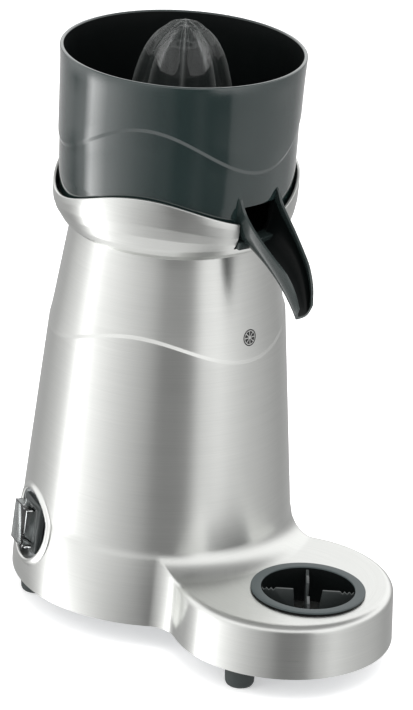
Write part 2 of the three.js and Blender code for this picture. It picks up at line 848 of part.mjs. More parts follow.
add("housing_shell", housing(), brushed);
add("base_plate", basePlate(), zinc);
footPlaces.forEach(([x, y], i) => {
  add(`foot_${i + 1}`, footShape(), rubber).position.set(x, y, 0);
  add(`foot_screw_${i + 1}`, footScrew(), steel).position.set(x, y, 0);
});

add("stator_core", statorCore(), laminated);
add("upper_winding", winding(statorZ + statorHigh + gap), copper);
add("lower_winding", winding(statorZ - windingHigh - gap), copper);
add("upper_end_shield", shield(statorZ + statorHigh + gap, upperLid, upperBearingZ - 1), cast);
add("lower_end_shield", shield(statorZ - gap, lowerLid, lowerBearingZ + bearingHigh + 1), cast);
add("upper_bearing", bearing(upperBearingZ), steel);
add("lower_bearing", bearing(lowerBearingZ), steel);
const spacerLow = upperLid + gap;
const spacerHigh = deckZ - deckThick - gap;
const headTop = lowerLid - gap;
const headLow = headTop - 3.4;
const boltTop = deckZ - 0.5;
const motorBolt = turned(
  [[0, headLow], [3.6, headLow], [3.6, headTop], [screwR, headTop], [screwR, boltTop], [0, boltTop]],
  10,
);
const motorSpacer = tube(screwR + gap, 4.2, spacerLow, spacerHigh, 10);
for (let i = 0; i < 4; i += 1) {
  const spacer = new THREE.Group();
  spacer.rotation.z = ((i + 0.5) * Math.PI) / 2;
  press.add(spacer);
  add(`motor_spacer_${i + 1}`, motorSpacer, zinc, spacer).position.x = boltCircle;
  add(`motor_bolt_${i + 1}`, motorBolt, steel, spacer).position.x = boltCircle;
}
add("shaft_seal", tube(journalR + running + 0.15, 13, deckZ - deckThick, deckZ + 3, 20), rubber);

add("spindle", spindle(), steel);
add("rotor_core", tube(spindleR + gap, rotorR, statorZ, statorZ + statorHigh, middling), laminated);
add("cooling_fan", fan(), blackPlastic);

add("juice_bowl", juiceBowl(), bowlPlastic);
add("strainer", strainer(), blackPlastic);
add("reamer", reamer(), smoky);

const cup = new THREE.Group();
cup.position.y = -cupReach;
press.add(cup);
add("drip_cup", dripCup(), bowlPlastic, cup);
add("drip_grid", dripGrid(), blackPlastic, cup);

const switchFrame = new THREE.Group();
switchFrame.applyMatrix4(switchPlace);
press.add(switchFrame);
add("switch_plate", switchPlate(), zinc, switchFrame);
add("switch_bezel", switchBezel(), blackPlastic, switchFrame);
add("rocker", rocker(), blackPlastic, switchFrame);
add("splash_cover", splashCover(), clear, switchFrame);

const glandFrame = new THREE.Group();
glandFrame.applyMatrix4(glandPlace);
press.add(glandFrame);
add("cable_gland", cableGland(), blackPlastic, glandFrame);
add("gland_nut", glandNut(), blackPlastic, glandFrame);

add("run_capacitor", capacitor(), cast).position.set(...capacitorPlace, 0);
add("capacitor_clip", capacitorClip(), zinc).position.set(...capacitorPlace, 0);
add("terminal_block", terminalBlock(), ivory).position.set(-10, -45, 0);
add("earth_stud", earthStud(), steel).position.set(30, -45, 0);

export default press;
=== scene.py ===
import json
import math
from functools import partial

import bmesh
import bpy
import numpy as np
from mathutils import Matrix, Vector


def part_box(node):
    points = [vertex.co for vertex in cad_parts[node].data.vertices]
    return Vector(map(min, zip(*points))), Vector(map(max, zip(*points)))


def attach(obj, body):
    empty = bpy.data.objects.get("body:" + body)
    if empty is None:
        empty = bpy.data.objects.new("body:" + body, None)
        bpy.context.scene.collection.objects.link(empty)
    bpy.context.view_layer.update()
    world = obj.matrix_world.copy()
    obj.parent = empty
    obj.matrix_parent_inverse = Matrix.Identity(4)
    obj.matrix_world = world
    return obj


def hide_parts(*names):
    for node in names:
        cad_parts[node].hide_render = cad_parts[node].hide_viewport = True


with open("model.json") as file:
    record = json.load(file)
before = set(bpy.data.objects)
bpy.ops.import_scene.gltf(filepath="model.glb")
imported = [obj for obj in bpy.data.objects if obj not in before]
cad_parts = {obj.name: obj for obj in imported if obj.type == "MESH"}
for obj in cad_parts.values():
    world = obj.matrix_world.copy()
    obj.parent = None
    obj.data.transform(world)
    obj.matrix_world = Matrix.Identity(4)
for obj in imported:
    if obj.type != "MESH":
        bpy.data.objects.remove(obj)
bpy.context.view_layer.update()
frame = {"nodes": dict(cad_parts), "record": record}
NODES = frame["nodes"]

# ---- sizes in millimetres; the solids have most of them too ----
AXIS_Y = 1000 * sum(corner.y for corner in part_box("spindle")) / 2
SKIRT_Z, SKIRT_R, CREASE_Z = 16.5, 89.6, 65.0
PLATFORM_R, PLATFORM_REACH, PLATFORM_Z, PLATFORM_EDGE = 68.8, 115.0, 50.6, 4.2
PLATFORM_DRAFT, BLEND_R = 0.045, 14.0
EDGE_LEAST, EDGE_FROM, EDGE_OVER = 0.4, 89.0, 14.0  # the platform's edge rounds off away from the column
WALL = 2.4
WAIST_Z, WAIST_SWING = 190.9, 8.6
LOWER_SLOPE, UPPER_SLOPE = 0.09, 0.149
LOWER_R, LOWER_Z, UPPER_R, UPPER_Z = 85.05, 57.0, 69.4, 209.5
COLLAR_Z, COLLAR_SWING, COLLAR_R, COLLAR_LOW_Z = 281.0, 8.6, 75.3, 249.4
DECK_Z, DECK_THICK, SEAL_R = 252.0, 5.0, 13.3
NOTCH_HALF, NOTCH_Z = 17.2, 257.2
RIM_Z, RIM_R, BOWL_WAVE_Z, BOWL_SWING = 361.9, 75.1, 318.2, 13.9
CHIMNEY_R, CHIMNEY_Z = 15.6, 292.0  # the bowl's centre tube
OUTLET_HALF, OUTLET_LOW_Z, OUTLET_HIGH_Z = 14.4, 261.6, 283.5
STRAINER_Z, STRAINER_R, STRAINER_SLOTS = 303.0, 69.4, 12
TIP_Z, RIBS, RIB_STEPS, REAMER_DEEP, REAMER_FLANGE_R = 380.0, 8, 14, 56.0, 34.0
SOCKET_R, SOCKET_BORE_R, SOCKET_LOW_Z = 9.6, 5.2, 288.0
CUP_REACH, CUP_R, CUP_FLANGE_R, CUP_MOUTH_R, CUP_FLOOR_Z = 135.2, 32.4, 35.3, 28.9, 24.0
SWITCH_TURN, SWITCH_REACH, SWITCH_Z, RING_R = -112.0, 81.6, 55.0, 24.0
BEZEL_LOW, BEZEL_TOP = -0.8, 3.6  # along the switch's own axis, out of the wall
GLAND_Z, GLAND_FLANGE_R, GLAND_OUT, CORD_R = 36.0, 11.0, 12.0, 3.8
JOIN_Z = 92.0  # where the foot's mesh meets the column's
FOOT_SPAN = (-96, -188, SKIRT_Z - 3), (96, 96, JOIN_Z + 3)
NET_STEP = 1.3  # the spacing of the foot's mesh


def lower_cone(z):
    return LOWER_R - LOWER_SLOPE * (z - LOWER_Z)


def upper_cone(z):
    return UPPER_R - UPPER_SLOPE * (z - UPPER_Z)


def skirt_cone(z):
    """The flared skirt: it spreads fast below the crease and hangs almost upright at its foot."""
    share = (CREASE_Z - z) / (CREASE_Z - SKIRT_Z)
    spread_out = SKIRT_R - lower_cone(CREASE_Z)
    return lower_cone(CREASE_Z) + spread_out * (1.9 * share - 0.9 * share**2)


# ---- meshes ----
def place(points):
    """Millimetres from the column's axis, as metres in the row's frame."""
    return (np.asarray(points, float) + (0, AXIS_Y, 0)) / 1000


def new_object(name, points, faces):
    """An object from points in millimetres and its faces."""
    mesh = bpy.data.meshes.new(name)
    mesh.from_pydata(place(points).tolist(), [], [list(map(int, f)) for f in faces])
    made = bpy.data.objects.new(name, mesh)
    bpy.context.scene.collection.objects.link(made)
    return made


def new_piece(name, points, faces, body, slot, materials, crease=35.0):
    """A piece of the look, riding on a body."""
    piece = new_object(name, points, faces)
    piece.data.validate()
    piece.data.update()
    for material in materials if isinstance(materials, list) else [materials]:
        piece.data.materials.append(material)
    smooth(piece, crease)
    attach(piece, body)
    return piece


def smooth(piece, crease):
    """Smooth shading with sharp edges where faces meet at more than crease degrees."""
    mesh = piece.data
    work = bmesh.new()
    work.from_mesh(mesh)
    for face in work.faces:
        face.smooth = True
    limit = math.radians(crease)
    for edge in work.edges:
        edge.smooth = len(edge.link_faces) == 2 and edge.calc_face_angle(0) < limit
    work.to_mesh(mesh)
    work.free()


def fix_normals(piece, crease=45):
    """Turns every face of a closed piece outwards."""
    work = bmesh.new()
    work.from_mesh(piece.data)
    bmesh.ops.recalc_face_normals(work, faces=work.faces[:])
    work.to_mesh(piece.data)
    work.free()
    smooth(piece, crease)


def apply_modifiers(piece):
    """Keeps the mesh as its modifiers shape it."""
    graph = bpy.context.evaluated_depsgraph_get()
    done = bpy.data.meshes.new_from_object(piece.evaluated_get(graph))
    piece.modifiers.clear()
    piece.data = done


def bevel(piece, width, segments=3, crease=35.0):
    """Rounds the sharp edges, width in millimetres."""
    tool = piece.modifiers.new("round", "BEVEL")
    tool.width = width / 1000
    tool.segments = segments
    tool.limit_method = "ANGLE"
    tool.angle_limit = math.radians(30)
    apply_modifiers(piece)
    smooth(piece, crease)


def carve(piece, points, faces, crease=35.0):
    """Cuts a closed shape out of a piece."""
    cutter = new_object("cutter", points, faces)
    tool = piece.modifiers.new("cut", "BOOLEAN")
    tool.operation = "DIFFERENCE"
    tool.solver = "EXACT"
    tool.object = cutter
    bpy.context.view_layer.update()
    apply_modifiers(piece)
    bpy.data.objects.remove(cutter)
    smooth(piece, crease)


def grid_faces(rows, columns, wrap_rows=False):
    """Quads over rings of points stored one after another."""
    faces = []
    for i in range(rows if wrap_rows else rows - 1):
        for j in range(columns):
            a, b = i * columns, ((i + 1) % rows) * columns
            k = (j + 1) % columns
            faces.append((a + j, a + k, b + k, b + j))
    return faces


def rounded(corners, steps=5):
    """A polyline of (r, z, radius, extra...) with each corner rounded; extra values are blended."""
    line = []
    last = len(corners) - 1
    for i, corner in enumerate(corners):
        here = np.array(corner[:2], float)
        extra = np.array(corner[3:], float)
        radius = corner[2]
        if i in (0, last) or radius <= 0:
            line.append([*here, *extra])
            continue
        before, after = (np.array(corners[k][:2], float) for k in (i - 1, i + 1))
        into, out = before - here, after - here
        reach_in, reach_out = np.linalg.norm(into), np.linalg.norm(out)
        into, out = into / reach_in, out / reach_out
        half = math.acos(max(-1.0, min(1.0, float(into @ out)))) / 2
        back = min(radius / max(math.tan(half), 1e-6), 0.48 * reach_in, 0.48 * reach_out)
        for s in range(steps + 1):
            t = s / steps
            p = here + into * back * (1 - t) ** 2 + out * back * t**2
            line.append([*p, *extra])
    return line


def lathe(profile, sides, centre=(0, 0), closed=False):
    """A profile of (r, z) or (r, z, lift, slope) turned about an upright axis. Lift makes a height
    rise and fall three times round, lowest at the front, and slope lets its radius follow a cone."""
    points = []
    for r, z, *wave in profile:
        lift, slope = wave or (0, 0)
        for j in range(sides):
            turn = 2 * math.pi * j / sides
            up = -lift * math.cos(3 * turn)
            out = r - slope * up
            points.append((centre[0] + out * math.sin(turn), centre[1] - out * math.cos(turn), z + up))
    faces = grid_faces(len(profile), sides, wrap_rows=closed)
    return points, [face[::-1] for face in faces]


def fine_profile(line, steps, longest):
    """A closed profile with rounded corners, its long stretches cut to under twice longest."""
    profile = rounded(line, steps)
    dense = []
    for a, b in zip(profile, profile[1:] + profile[:1]):
        pieces = max(1, int(math.hypot(b[0] - a[0], b[1] - a[1]) / longest))
        dense += [[a[n] + (b[n] - a[n]) * s / pieces for n in range(4)] for s in range(pieces)]
    return dense


def block(x0, x1, y0, y1, z0, z1, matrix=Matrix()):
    points = [(x, y, z) for x in (x0, x1) for y in (y0, y1) for z in (z0, z1)]
    faces = [(0, 1, 3, 2), (4, 6, 7, 5), (0, 4, 5, 1), (2, 3, 7, 6), (0, 2, 6, 4), (1, 5, 7, 3)]
    return moved(points, matrix), faces


def prism(outline, low, high, matrix):
    """A flat outline of (a, b) points, from low to high along the third direction of matrix."""
    count = len(outline)
    points = [tuple(matrix @ Vector((a, b, c))) for c in (low, high) for a, b in outline]
    faces = [list(range(count))[::-1], list(range(count, 2 * count))]
    return points, faces + grid_faces(2, count)


def moved(points, matrix):
    return [tuple(matrix @ Vector(p)) for p in points]


def several(*parts):
    """Several (points, faces) as one."""
    points, faces = [], []
    for more_points, more_faces in parts:
        faces += [[k + len(points) for k in face] for face in more_faces]
        points += list(more_points)
    return points, faces


# ---- node helpers ----
def group(name, inputs, outputs):
    """A shader node group with numbers as its named inputs and outputs."""
    tree = bpy.data.node_groups.new(name, "ShaderNodeTree")
    for label, value in inputs.items():
        socket = tree.interface.new_socket(label, in_out="INPUT", socket_type="NodeSocketFloat")
        socket.default_value = value
    for label in outputs:
        tree.interface.new_socket(label, in_out="OUTPUT", socket_type="NodeSocketFloat")
    return tree, tree.nodes.new("NodeGroupInput"), tree.nodes.new("NodeGroupOutput")


def math_node(tree, operation, a, b=0.5, clamp=False):
    node = tree.nodes.new("ShaderNodeMath")
    node.operation = operation
    node.use_clamp = clamp
    for socket, value in ((node.inputs[0], a), (node.inputs[1], b)):
        if isinstance(value, (int, float)):
            socket.default_value = value
        else:
            tree.links.new(value, socket)
    return node.outputs[0]


def noise(tree, vector, scale, detail=2.0, rough=0.5):
    node = tree.nodes.new("ShaderNodeTexNoise")
    node.inputs["Scale"].default_value = scale
    node.inputs["Detail"].default_value = detail
    node.inputs["Roughness"].default_value = rough
    tree.links.new(vector, node.inputs["Vector"])
    return node.outputs["Fac"]


def stretch(tree, vector, scale):
    node = tree.nodes.new("ShaderNodeMapping")
    node.inputs["Scale"].default_value = scale
    tree.links.new(vector, node.inputs["Vector"])
    return node.outputs["Vector"]


def spread(tree, value, low, high):
    """A value from 0 to 1 as one from low to high."""
    node = tree.nodes.new("ShaderNodeMapRange")
    tree.links.new(value, node.inputs["Value"])
    node.inputs["To Min"].default_value = low
    node.inputs["To Max"].default_value = high
    return node.outputs["Result"]


def link_all(tree, values, node):
    """Links values to a node's first inputs, in order."""
    for value, socket in zip(values, node.inputs):
        tree.links.new(value, socket)


def brushing_group():
    """Fine level scratches round upright walls, and rings round the platform on level faces."""
    tree, given, result = group(
        "brushing",
        {"Fineness": 2200.0, "Depth": 1.0, "Smudge": 0.04},
        ("Height", "Roughness Shift", "Tone"),
    )
    calc = partial(math_node, tree)
    where = tree.nodes.new("ShaderNodeTexCoord").outputs["Object"]
    apart = tree.nodes.new("ShaderNodeSeparateXYZ")
    tree.links.new(where, apart.inputs[0])
    x, y, z = apart.outputs
    along_y = calc("ADD", y, (PLATFORM_REACH - AXIS_Y) / 1000)
    away = calc("SQRT", calc("ADD", calc("MULTIPLY", x, x), calc("MULTIPLY", along_y, along_y)))
    facing = tree.nodes.new("ShaderNodeSeparateXYZ")
    tree.links.new(tree.nodes.new("ShaderNodeNewGeometry").outputs["Normal"], facing.inputs[0])
    level = calc("SMOOTH_MAX", calc("MULTIPLY", facing.outputs["Z"], 1.25), 0.0)
    level = calc("MINIMUM", calc("POWER", level, 3.0), 1.0)
    rising = calc("MULTIPLY", z, calc("SUBTRACT", 1.0, level))
    across = calc("ADD", rising, calc("MULTIPLY", away, level))
    lines = tree.nodes.new("ShaderNodeCombineXYZ")
    scales = (x, 26.0), (y, 26.0), (across, given.outputs["Fineness"])
    link_all(tree, [calc("MULTIPLY", value, scale) for value, scale in scales], lines)
    fine = noise(tree, lines.outputs[0], 1.0, 3.0, 0.65)
    coarse = noise(tree, stretch(tree, lines.outputs[0], (0.6, 0.6, 0.16)), 1.0, 2.0)
    clouds = noise(tree, where, 14.0, 3.0, 0.55)
    both = calc("ADD", calc("MULTIPLY", fine, 0.72), calc("MULTIPLY", coarse, 0.28))
    smudge = calc("MULTIPLY", calc("SUBTRACT", clouds, 0.5), given.outputs["Smudge"])
    shift = calc("ADD", spread(tree, both, -0.02, 0.02), smudge)
    link_all(tree, [calc("MULTIPLY", both, given.outputs["Depth"]), shift, both], result)
    return tree


def moulding_group():
    """The faint ripple, dulling and handling marks of a moulded surface."""
    tree, given, result = group(
        "moulding",
        {"Grain": 900.0, "Depth": 1.0, "Dulling": 0.06, "Gloss": 0.2},
        ("Height", "Roughness", "Tone"),
    )
    calc = partial(math_node, tree)
    where = tree.nodes.new("ShaderNodeTexCoord").outputs["Object"]
    sized = tree.nodes.new("ShaderNodeVectorMath")
    sized.operation = "SCALE"
    tree.links.new(where, sized.inputs[0])
    tree.links.new(given.outputs["Grain"], sized.inputs["Scale"])
    grain = noise(tree, sized.outputs[0], 1.0, 2.0)
    ripple = noise(tree, where, 30.0, 1.0)
    marks = noise(tree, stretch(tree, where, (40, 40, 18)), 1.0, 5.0, 0.6)
    deep = calc("MULTIPLY", grain, given.outputs["Depth"])
    height = calc("ADD", deep, calc("MULTIPLY", ripple, 2.0))
    dull = calc("MULTIPLY", calc("SUBTRACT", marks, 0.42), given.outputs["Dulling"])
    roughness = calc("ADD", given.outputs["Gloss"], dull, clamp=True)
    link_all(tree, [height, roughness, marks], result)
    return tree


def edges_group():
    """A mask that is 1 on convex edges: where handling wears a surface, and where clear plastic gets a
    painted highlight.
    """
    tree, given, result = group("edge_wear_and_highlight", {"Spread": 3.0}, ("Mask",))
    point = tree.nodes.new("ShaderNodeNewGeometry").outputs["Pointiness"]
    lifted = math_node(tree, "SUBTRACT", point, 0.5)
    gain = math_node(tree, "MULTIPLY", given.outputs["Spread"], 4.0)
    mask = math_node(tree, "MULTIPLY", lifted, gain, True)
    tree.links.new(mask, result.inputs["Mask"])
    return tree


BRUSHING, MOULDING, EDGES = brushing_group(), moulding_group(), edges_group()


def start_material(name, **numbers):
    material = bpy.data.materials.new(name)
    material.use_nodes = True
    shader = material.node_tree.nodes["Principled BSDF"]
    for label, value in numbers.items():
        shader.inputs[label.replace("_", " ")].default_value = value
    return material, material.node_tree, shader


def use(tree, made, **values):
    node = tree.nodes.new("ShaderNodeGroup")
    node.node_tree = made
    for label, value in values.items():
        node.inputs[label.replace("_", " ")].default_value = value
    return node


def mix_colour(tree, factor, a, b):
    node = tree.nodes.new("ShaderNodeMix")
    node.data_type = "RGBA"
    tree.links.new(factor, node.inputs["Factor"])
    for socket, value in ((node.inputs["A"], a), (node.inputs["B"], b)):
        if isinstance(value, (tuple, list)):
            socket.default_value = (*value, 1.0)
        else:
            tree.links.new(value, socket)
    return node.outputs["Result"]


def bumped(tree, shader, height, distance):
    node = tree.nodes.new("ShaderNodeBump")
    node.inputs["Distance"].default_value = distance
    node.inputs["Strength"].default_value = 1.0
    tree.links.new(height, node.inputs["Height"])
    tree.links.new(node.outputs["Normal"], shader.inputs["Normal"])


def metal(name, dark, light, roughness, fineness, distance, smudge=0.05, across=0.0):
    """Brushed metal. Across draws its highlights out up and down, over the level scratches."""
    material, tree, shader = start_material(name, Metallic=1.0)
    grain = use(tree, BRUSHING, Fineness=fineness, Depth=1.0, Smudge=smudge)
    tree.links.new(mix_colour(tree, grain.outputs["Tone"], dark, light), shader.inputs["Base Color"])
    tree.links.new(
        math_node(tree, "ADD", grain.outputs["Roughness Shift"], roughness, True),
        shader.inputs["Roughness"],
    )
    bumped(tree, shader, grain.outputs["Height"], distance)
    if across:
        shader.inputs["Anisotropic"].default_value = across
        upright = tree.nodes.new("ShaderNodeCombineXYZ")
        upright.inputs["Y"].default_value = 0.03
        upright.inputs["Z"].default_value = 1.0
        tree.links.new(upright.outputs[0], shader.inputs["Tangent"])
    return material


def plastic(name, dark, light, gloss, grain=900.0, distance=0.00002, coat=0.0, ior=1.5):
    """Moulded plastic or rubber, a little lighter where its edges wear."""
    material, tree, shader = start_material(name, IOR=ior)
    shader.inputs["Coat Weight"].default_value = coat
    shader.inputs["Coat Roughness"].default_value = 0.06
    skin = use(tree, MOULDING, Grain=grain, Depth=1.0, Dulling=0.08, Gloss=gloss)
    worn = use(tree, EDGES, Spread=2.0)
    base = mix_colour(tree, skin.outputs["Tone"], dark, light)
    brighter = tuple(min(1.0, 1.5 * c + 0.01) for c in light)
    tree.links.new(mix_colour(tree, worn.outputs["Mask"], base, brighter), shader.inputs["Base Color"])
    tree.links.new(skin.outputs["Roughness"], shader.inputs["Roughness"])
    bumped(tree, shader, skin.outputs["Height"], distance)
    return material


def clear_plastic(name, colour, gloss, through, alpha, edge=None):
    """See-through plastic. An edge colour paints a highlight on its sharp ribs, making them lighter and
    denser.
    """
    material, tree, shader = start_material(
        name, Metallic=0.0, IOR=1.49, Transmission_Weight=through, Alpha=alpha
    )
    skin = use(tree, MOULDING, Grain=300.0, Depth=0.4, Dulling=0.05, Gloss=gloss)
    tinted = tuple(0.8 * c for c in colour)
    body = mix_colour(tree, skin.outputs["Tone"], tinted, colour)
    # Painted highlight: a light colour and extra alpha on convex edges stand in for light caught by the
    # ribs.
    if edge:
        bright = use(tree, EDGES, Spread=1.2)
        body = mix_colour(tree, bright.outputs["Mask"], body, edge)
        solid = math_node(tree, "ADD", math_node(tree, "MULTIPLY", bright.outputs["Mask"], 0.4), alpha)
        tree.links.new(solid, shader.inputs["Alpha"])
    tree.links.new(body, shader.inputs["Base Color"])
    tree.links.new(skin.outputs["Roughness"], shader.inputs["Roughness"])
    bumped(tree, shader, skin.outputs["Height"], 0.00002)
    return material


SHELL = metal(
    "brushed_shell", (0.62, 0.63, 0.61), (0.79, 0.795, 0.775), 0.29, 3600.0, 0.00003, across=0.75
)
PLATE = metal("zinc_plate", (0.36, 0.38, 0.4), (0.6, 0.62, 0.64), 0.36, 900.0, 0.00004, 0.16)
STEEL = metal("bright_steel", (0.42, 0.43, 0.44), (0.66, 0.67, 0.68), 0.24, 1800.0, 0.00003)
CAST = metal("cast_alloy", (0.38, 0.39, 0.4), (0.6, 0.61, 0.62), 0.5, 500.0, 0.0002, 0.2)
LAMINATED = metal("laminations", (0.06, 0.065, 0.07), (0.3, 0.31, 0.33), 0.48, 1500.0, 0.0003, 0.1)
COPPER = metal("windings", (0.28, 0.1, 0.04), (0.75, 0.34, 0.15), 0.35, 1100.0, 0.0006, 0.1)
BRASS = metal("brass_stud", (0.5, 0.34, 0.12), (0.78, 0.6, 0.26), 0.3, 1500.0, 0.00003)
BOWL = plastic(
    "bowl_plastic", (0.006, 0.013, 0.0128), (0.009, 0.018, 0.0175), 0.06, coat=0.9, ior=1.56
)
# A darker, duller copy of the bowl plastic for faces inside the bowl, the spout channel and the cup's
# hole: painted shade.
INSIDE_PAINTED_SHADE = plastic("bowl_inside_painted_shade", (0.0012, 0.002, 0.002), (0.002, 0.003, 0.003), 0.42, ior=1.3)
SPOUT = plastic("spout_plastic", (0.008, 0.013, 0.0125), (0.012, 0.018, 0.0175), 0.24, coat=0.2)
RING = plastic("cup_plastic", (0.032, 0.044, 0.046), (0.042, 0.056, 0.058), 0.38, grain=1400.0)
BLACK = plastic("black_plastic", (0.012, 0.015, 0.015), (0.022, 0.026, 0.026), 0.36, grain=1600.0)
RUBBER = plastic(
    "rubber", (0.018, 0.024, 0.024), (0.035, 0.042, 0.042), 0.72, grain=2400.0, distance=0.00006
)
IVORY = plastic("ivory_plastic", (0.55, 0.52, 0.42), (0.66, 0.63, 0.54), 0.45)
# The smoky plastic's pale edge colour is a painted highlight along the reamer's rib edges.
SMOKY = clear_plastic("smoky_plastic", (0.05, 0.058, 0.056), 0.05, 0.6, 0.55, (0.55, 0.57, 0.56))
CLEAR = clear_plastic("clear_plastic", (0.93, 0.96, 0.96), 0.03, 1.0, 1.0)
INK = plastic("mark_ink", (0.004, 0.004, 0.004), (0.009, 0.009, 0.009), 0.4)

# Every solid takes a finish by its slot. Those that nothing below replaces keep their CAD shape.
CARRIED = {
    "zinc_plate": PLATE, "bright_steel": STEEL, "cast_alloy": CAST, "laminations": LAMINATED,
    "windings": COPPER, "brass_stud": BRASS, "bowl_plastic": BOWL, "black_plastic": BLACK,
    "rubber": RUBBER, "ivory_plastic": IVORY, "smoky_plastic": SMOKY, "clear_plastic": CLEAR,
    "brushed_shell": SHELL,
}
for entry in frame["record"]["subparts"]:
    node = NODES[entry["node"]]
    node.data.materials.clear()
    node.data.materials.append(CARRIED[entry["material_slot"]])
    smooth(node, 32)


# ---- the switch's own frame: +X out of the wall, +Y along it, +Z up ----
switch_place = (
    Matrix.Rotation(math.radians(SWITCH_TURN - 90), 4, "Z")
    @ Matrix.Translation((SWITCH_REACH, 0, SWITCH_Z))
    @ Matrix.Rotation(-math.atan(LOWER_SLOPE), 4, "Y")
)
from_switch = np.array(switch_place.inverted())
turn_out = switch_place @ Matrix.Rotation(math.pi / 2, 4, "Y")


# ---- the foot: skirt and platform, blended into the column ----
def round_join(a, b, radius):
    """The union of two distance fields, with a hollow round between them."""
    u, v = np.maximum(radius - a, 0), np.maximum(radius - b, 0)
    return np.maximum(radius, np.minimum(a, b)) - np.hypot(u, v)


def meet_round(a, b, radius):
    """What two distance fields share, with a rounded edge between them."""
    u, v = np.maximum(radius + a, 0), np.maximum(radius + b, 0)
    return np.minimum(-radius, np.maximum(a, b)) + np.hypot(u, v)


def wall_field(x, y, z):
    """The skirt, the platform and the hollow between them and the column."""
    away = np.hypot(x, y)
    above = np.maximum(z - CREASE_Z, 0)
    skirt = away - np.where(z < CREASE_Z, skirt_cone(z), lower_cone(CREASE_Z) + 0.5 * above)
    stand = np.hypot(x, y + PLATFORM_REACH) - (PLATFORM_R - PLATFORM_DRAFT * (z - SKIRT_Z))
    side = round_join(skirt, stand, BLEND_R)
    top = round_join(away - lower_cone(z), z - PLATFORM_Z, BLEND_R)
    share = np.clip((away - EDGE_FROM) / EDGE_OVER, 0, 1)
    edge = EDGE_LEAST + (PLATFORM_EDGE - EDGE_LEAST) * share * share * (3 - 2 * share)
    return meet_round(side, top, edge)


def foot_field(x, y, z):
    """The same with the holes for the switch and the drip cup."""
    body = wall_field(x, y, z)
    u, v, w = (
        from_switch[i, 0] * x + from_switch[i, 1] * y + from_switch[i, 2] * z + from_switch[i, 3]
        for i in range(3)
    )
    ring = np.hypot(v, w)
    body = np.maximum(body, -np.maximum(ring - (RING_R - 1.0), -14 - u))
    cup = np.hypot(x, y + CUP_REACH) - (CUP_R + 0.9)
    return np.maximum(body, -np.maximum(cup, 30 - z))


def slope_of(field, p, step=0.02):
    """A field's slope at points, by differences."""
    rows = []
    for i in range(3):
        shift = np.zeros(3)
        shift[i] = step
        rows.append(field(*(p + shift).T) - field(*(p - shift).T))
    return np.stack(rows, 1) / (2 * step)


def net(field, low, high, step):
    """Quads over a field's zero surface, one point in each crossed cell, pulled onto the surface."""
    axes = [np.arange(low[i], high[i] + step, step) for i in range(3)]
    inside = field(*np.meshgrid(*axes, indexing="ij")) < 0
    cells = [s - 1 for s in inside.shape]
    total = np.zeros(cells, int)
    for i in (0, 1):
        for j in (0, 1):
            for k in (0, 1):
                total += inside[i : i + cells[0], j : j + cells[1], k : k + cells[2]]
    active = (total > 0) & (total < 8)
    index = np.full(cells, -1)
    index[active] = np.arange(active.sum())
    points = np.array(low) + (np.argwhere(active) + 0.5) * step
    for _ in range(6):
        slope = slope_of(field, points)
        size = np.maximum((slope**2).sum(1), 0.2)
        points = points - slope * np.clip(field(*points.T) / size, -step, step)[:, None]
    faces = []
    for axis in range(3):
        a, b = [(1, 2), (2, 0), (0, 1)][axis]
        first = np.moveaxis(inside, (axis, a, b), (0, 1, 2))
        cell = np.moveaxis(index, (axis, a, b), (0, 1, 2))
        crossed = first[:-1, 1:-1, 1:-1] != first[1:, 1:-1, 1:-1]
        i, j, k = np.nonzero(crossed)
        quad = np.stack([cell[i, j, k], cell[i, j + 1, k], cell[i, j + 1, k + 1], cell[i, j, k + 1]], 1)
        flip = ~first[i, j + 1, k + 1]
        quad[flip] = quad[flip][:, ::-1]
        faces.append(quad[(quad >= 0).all(1)])
    return points, np.concatenate(faces)


def turn_in(work):
    """The turned-in lower edge, one wall thick, and the wall's inner face."""
    rim = [e for e in work.edges if e.is_boundary and all(abs(v.co.z - SKIRT_Z) < 0.01 for v in e.verts)]
    for inward, upward in ((0.6, -0.25), (WALL - 1.2, 0.0), (0.6, 0.25), (0.0, 8.0)):
        grown = bmesh.ops.extrude_edge_only(work, edges=rim)["geom"]
        rim = [g for g in grown if isinstance(g, bmesh.types.BMEdge)]
        corners = [g for g in grown if isinstance(g, bmesh.types.BMVert)]
        where = np.array([v.co for v in corners])
        flat = where.copy()
        flat[:, 2] = SKIRT_Z + 1
        out = slope_of(foot_field, flat)
        out[:, 2] = 0
        out /= np.linalg.norm(out, axis=1)[:, None]
        for corner, to in zip(corners, where - out * inward + (0, 0, upward)):
            corner.co = to


def exact_normals(mesh, points):
    """The field's own normals on the outer surface; the turned-in edge keeps its own."""
    slope = slope_of(foot_field, points, 0.05)
    size = np.linalg.norm(slope, axis=1)
    on_wall = (points[:, 2] >= SKIRT_Z - 0.001) & (np.abs(foot_field(*points.T)) < 0.05) & (size > 0.5)
    loops = np.zeros(len(mesh.loops), int)
    mesh.loops.foreach_get("vertex_index", loops)
    own = np.zeros(len(mesh.loops) * 3)
    mesh.corner_normals.foreach_get("vector", own)
    own = own.reshape(-1, 3)
    exact = (slope / np.maximum(size, 1e-9)[:, None])[loops]
    agrees = on_wall[loops] & ((own * exact).sum(1) > 0.93)
    own[agrees] = exact[agrees]
    mesh.normals_split_custom_set(own.tolist())


def make_foot():
    points, faces = net(foot_field, *FOOT_SPAN, NET_STEP)
    work = bmesh.new()
    made = [work.verts.new(p) for p in points]
    for face in faces:
        work.faces.new([made[i] for i in face])
    for height, up in ((SKIRT_Z, -1), (JOIN_Z, 1)):
        bmesh.ops.bisect_plane(
            work,
            geom=work.verts[:] + work.edges[:] + work.faces[:],
            plane_co=(0, 0, height),
            plane_no=(0, 0, up),
            clear_outer=True,
        )
    turn_in(work)
    work.verts.index_update()
    points = np.array([v.co for v in work.verts])
    faces = [[v.index for v in f.verts] for f in work.faces]
    work.free()
    piece = new_piece("shell_foot", points, faces, "housing", "brushed_shell", SHELL, crease=50)
    exact_normals(piece.data, points)


